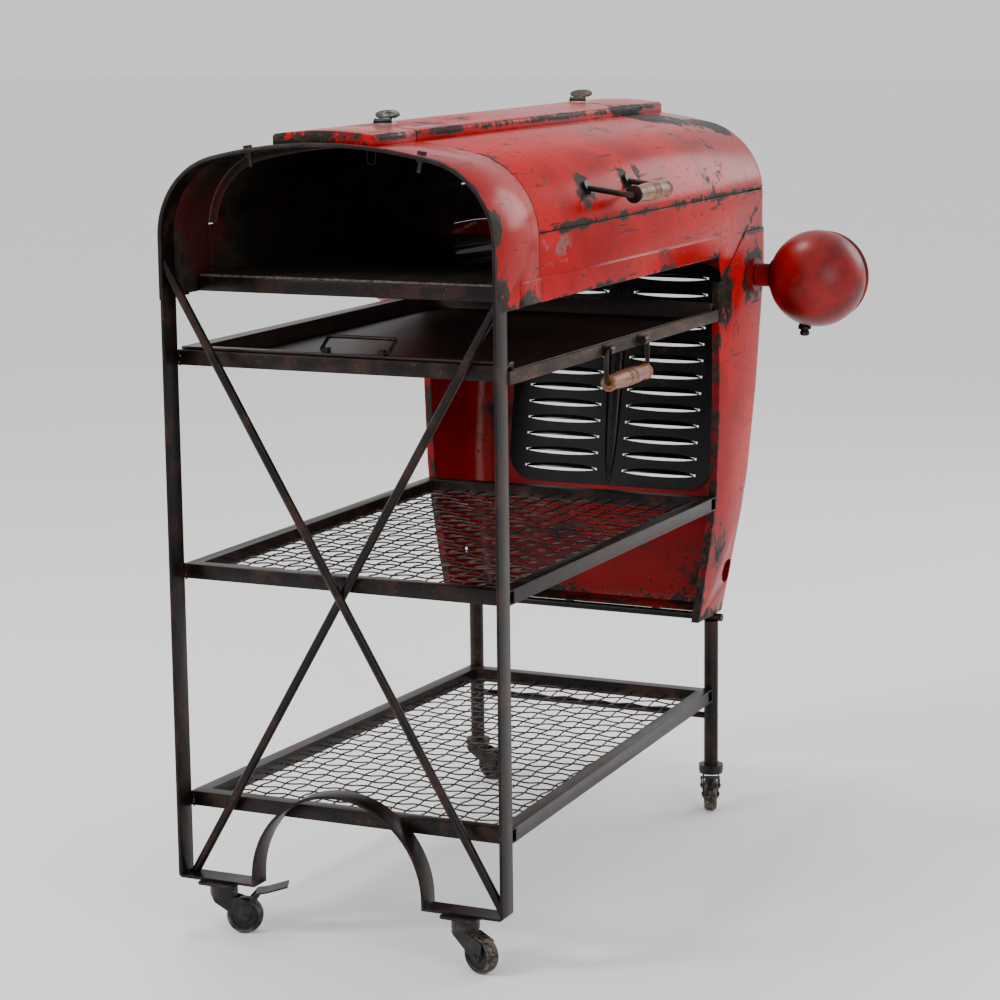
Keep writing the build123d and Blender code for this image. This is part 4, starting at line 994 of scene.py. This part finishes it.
class TROLLEY_OT_lamps(Piece, bpy.types.Operator):
    """Ball headlamps with rolled rims and fluted glass"""

    bl_idname = "trolley.lamps"
    bl_label = "Headlamps"

    def execute(self, context):
        for name, side in (("left", -1), ("right", 1)):
            self.lamp(name, side)
        return {"FINISHED"}

    def lamp(self, name, side):
        """Housing, stub, rim, glass and reflector of one lamp."""
        body = f"headlamp_{name}"
        low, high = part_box(f"lamp_shell_{name}")
        radius = (high.z - low.z) / 2
        outer = high.x if side > 0 else low.x
        inner = low.x if side > 0 else high.x
        rim_low, rim_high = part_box(f"lamp_rim_{name}")
        centre = Vector((outer - side * radius, low.y + radius, (low.z + high.z) / 2))
        face = rim_low.y - centre.y
        mouth = math.asin(face / radius)
        sweep = mouth + math.pi / 2
        arc = [-math.pi / 2 + sweep * i / LAMP_STEPS for i in range(LAMP_STEPS + 1)]
        skin = [(radius * math.cos(a), radius * math.sin(a)) for a in arc]
        hollow = radius - LAMP_WALL
        lining = [(hollow * math.cos(a), hollow * math.sin(a)) for a in reversed(arc)]
        turned(f"lamp_ball_{name}", skin + lining, Vector((0, 1, 0)), centre, lamp_red(), body,
               [f"lamp_shell_{name}"], 50.0)
        reach = abs(inner - centre.x)
        stub_at = Vector((centre.x, centre.y - 0.006, centre.z + 0.003))
        stub = [(0.0081, -reach), (0.0155, -reach), (0.0175, -reach + 0.002),
                (0.0175, -radius * 0.99), (0.0185, -radius * 0.965), (0.0235, -radius * 0.945),
                (0.0081, -radius * 0.94), (0.0081, -reach)]
        turned(f"lamp_stub_{name}", stub, Vector((side, 0, 0)), stub_at, lamp_red(), body,
               (), 40.0)
        rim_r = (rim_high.z - rim_low.z) / 2
        deep = rim_high.y - rim_low.y
        glass_r = (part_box(f"lamp_glass_{name}")[1].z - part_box(f"lamp_glass_{name}")[0].z) / 2
        at = Vector((centre.x, rim_low.y, centre.z))
        ring = [(glass_r, 0.0), (radius * math.cos(mouth), 0.0), (rim_r * 0.975, 0.0008),
                (rim_r, deep * 0.3), (rim_r * 0.99, deep * 0.55), (rim_r * 0.955, deep * 0.85),
                (rim_r * 0.92, deep), (glass_r + 0.001, deep * 0.96), (glass_r, deep * 0.8),
                (glass_r, 0.0)]
        turned(f"lamp_ring_{name}", ring, Vector((0, 1, 0)), at, lamp_red(), body,
               [f"lamp_rim_{name}"], 40.0)
        dress(lens_glass(), f"lamp_glass_{name}")
        dress(reflector_silver(), f"lamp_reflector_{name}")
        low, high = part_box(f"lamp_gland_{name}")
        wide, tall = (high.x - low.x) / 2, high.z - low.z
        knob = [(0.0, 0.0), (wide * 0.5, 0.0), (wide * 0.72, tall * 0.08),
                (wide * 0.74, tall * 0.3), (wide * 0.62, tall * 0.36),
                (wide * 0.62, tall * 0.42), (wide, tall * 0.5), (wide, tall * 0.72),
                (wide * 0.86, tall * 0.8), (wide * 0.86, tall), (0.0, tall)]
        foot = Vector(((low.x + high.x) / 2, (low.y + high.y) / 2, low.z))
        turned(f"lamp_knob_{name}", knob, Vector((0, 0, 1)), foot, black_enamel(), body,
               [f"lamp_gland_{name}"], 40.0)


class TROLLEY_OT_catches(Piece, bpy.types.Operator):
    """Thumb catches and bolts on the bonnet"""

    bl_idname = "trolley.catches"
    bl_label = "Catches and bolts"

    def execute(self, context):
        dress(bright_plate(), "catch_brackets")
        dress(dark_hardware(), "hood_bolts")
        stand_in("catch_lever_front", dark_hardware(), 0.0003)
        stand_in("catch_lever_rear", rusty_steel(), 0.0003)
        return {"FINISHED"}


class TROLLEY_OT_casters(Piece, bpy.types.Operator):
    """Swivel casters with worn treads"""

    bl_idname = "trolley.casters"
    bl_label = "Casters"

    def execute(self, context):
        for joint in frame["joints"]:
            name = joint["name"]
            if name.startswith("caster_wheel_"):
                self.wheel(name[len("caster_wheel_"):-len("_spin")], joint)
        dress(dark_hardware(), "caster_plates", "caster_collars", "caster_brake_front_left",
              "caster_brake_rear_right", "caster_fork_front_left", "caster_fork_front_right",
              "caster_fork_rear_left", "caster_fork_rear_right")
        return {"FINISHED"}

    def wheel(self, corner, joint):
        """Moulded wheel with a crowned tread, a dished web and a hub."""
        axis = Vector(joint["axis"]).normalized()
        low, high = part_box(f"caster_wheel_{corner}")
        centre = Vector(joint["pos_m"])
        radius = (high.z - low.z) / 2
        half = WHEEL_HALF
        one = [(0.00306, -half), (0.0072, -half), (0.0080, -half + 0.0008),
               (0.0086, -half + 0.0024), (0.0165, -half + 0.0024), (0.0176, -half + 0.0006),
               (0.0186, -half), (0.0215, -half + 0.0002), (0.0237, -half + 0.0022),
               (radius * 0.994, -half + 0.0048), (radius, -0.002)]
        other = [(r, -y) for r, y in reversed(one)]
        piece = turned(f"caster_tyre_{corner}", one + other + [one[0]], axis, centre,
                       caster_tyre(), body_of(f"caster_wheel_{corner}"),
                       [f"caster_wheel_{corner}"], 45.0)
        mark(piece, "tread", lambda co: float((co - centre).length > radius * 0.93))


class TROLLEY_OT_welds(Piece, bpy.types.Operator):
    """Weld beads and spatter where the frame is joined"""

    bl_idname = "trolley.welds"
    bl_label = "Weld beads"

    def execute(self, context):
        rng = random.Random(7)
        size = scene_sizes().weld_size / 2
        spots = []
        for node in ("lower_shelf_frame", "middle_shelf_frame", "tray_runner_frame"):
            low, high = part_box(node)
            for side in (low.x, high.x):
                inside = side * 0.985
                for step in range(6):
                    z = low.z + (high.z - low.z) * step / 5
                    spots.append((inside, low.y + 0.0008, z))
                for step in range(4):
                    x = side - math.copysign(0.02, side)
                    spots.append((x, low.y + 0.02 + 0.0008, low.z + 0.004 + 0.004 * step))
        mesh = bmesh.new()
        lumps(mesh, spots, size * 0.8, rng)
        settle("frame_welds", mesh, weld_metal(), "chassis")
        return {"FINISHED"}


PIECES = (TROLLEY_OT_stage, TROLLEY_OT_bonnet, TROLLEY_OT_nose, TROLLEY_OT_grille,
          TROLLEY_OT_frame, TROLLEY_OT_mesh, TROLLEY_OT_boards, TROLLEY_OT_drawer,
          TROLLEY_OT_grips, TROLLEY_OT_lamps, TROLLEY_OT_catches, TROLLEY_OT_casters,
          TROLLEY_OT_welds)


class TROLLEY_PT_panel(bpy.types.Panel):
    """Settings and makers of the trolley"""

    bl_idname = "TROLLEY_PT_panel"
    bl_label = "Trolley"
    bl_space_type = "VIEW_3D"
    bl_region_type = "UI"
    bl_category = "Trolley"

    def draw(self, context):
        for group in (context.scene.trolley_sizes, context.scene.trolley_colours):
            for name in group.bl_rna.properties.keys():
                if name not in ("rna_type", "name"):
                    self.layout.prop(group, name)
        for piece in PIECES:
            self.layout.operator(piece.bl_idname)


CLASSES = (TrolleyColours, TrolleySizes, *PIECES, TROLLEY_PT_panel)


def register():
    """Register the classes and attach the settings to the scene."""
    for item in CLASSES:
        bpy.utils.register_class(item)
    bpy.types.Scene.trolley_colours = PointerProperty(type=TrolleyColours)
    bpy.types.Scene.trolley_sizes = PointerProperty(type=TrolleySizes)


def unregister():
    """Undo register."""
    del bpy.types.Scene.trolley_sizes
    del bpy.types.Scene.trolley_colours
    for item in reversed(CLASSES):
        bpy.utils.unregister_class(item)


def main():
    """Build everything in order."""
    register()
    for piece in PIECES:
        group, name = piece.bl_idname.split(".")
        getattr(getattr(bpy.ops, group), name)()


if __name__ == "__main__":
    main()
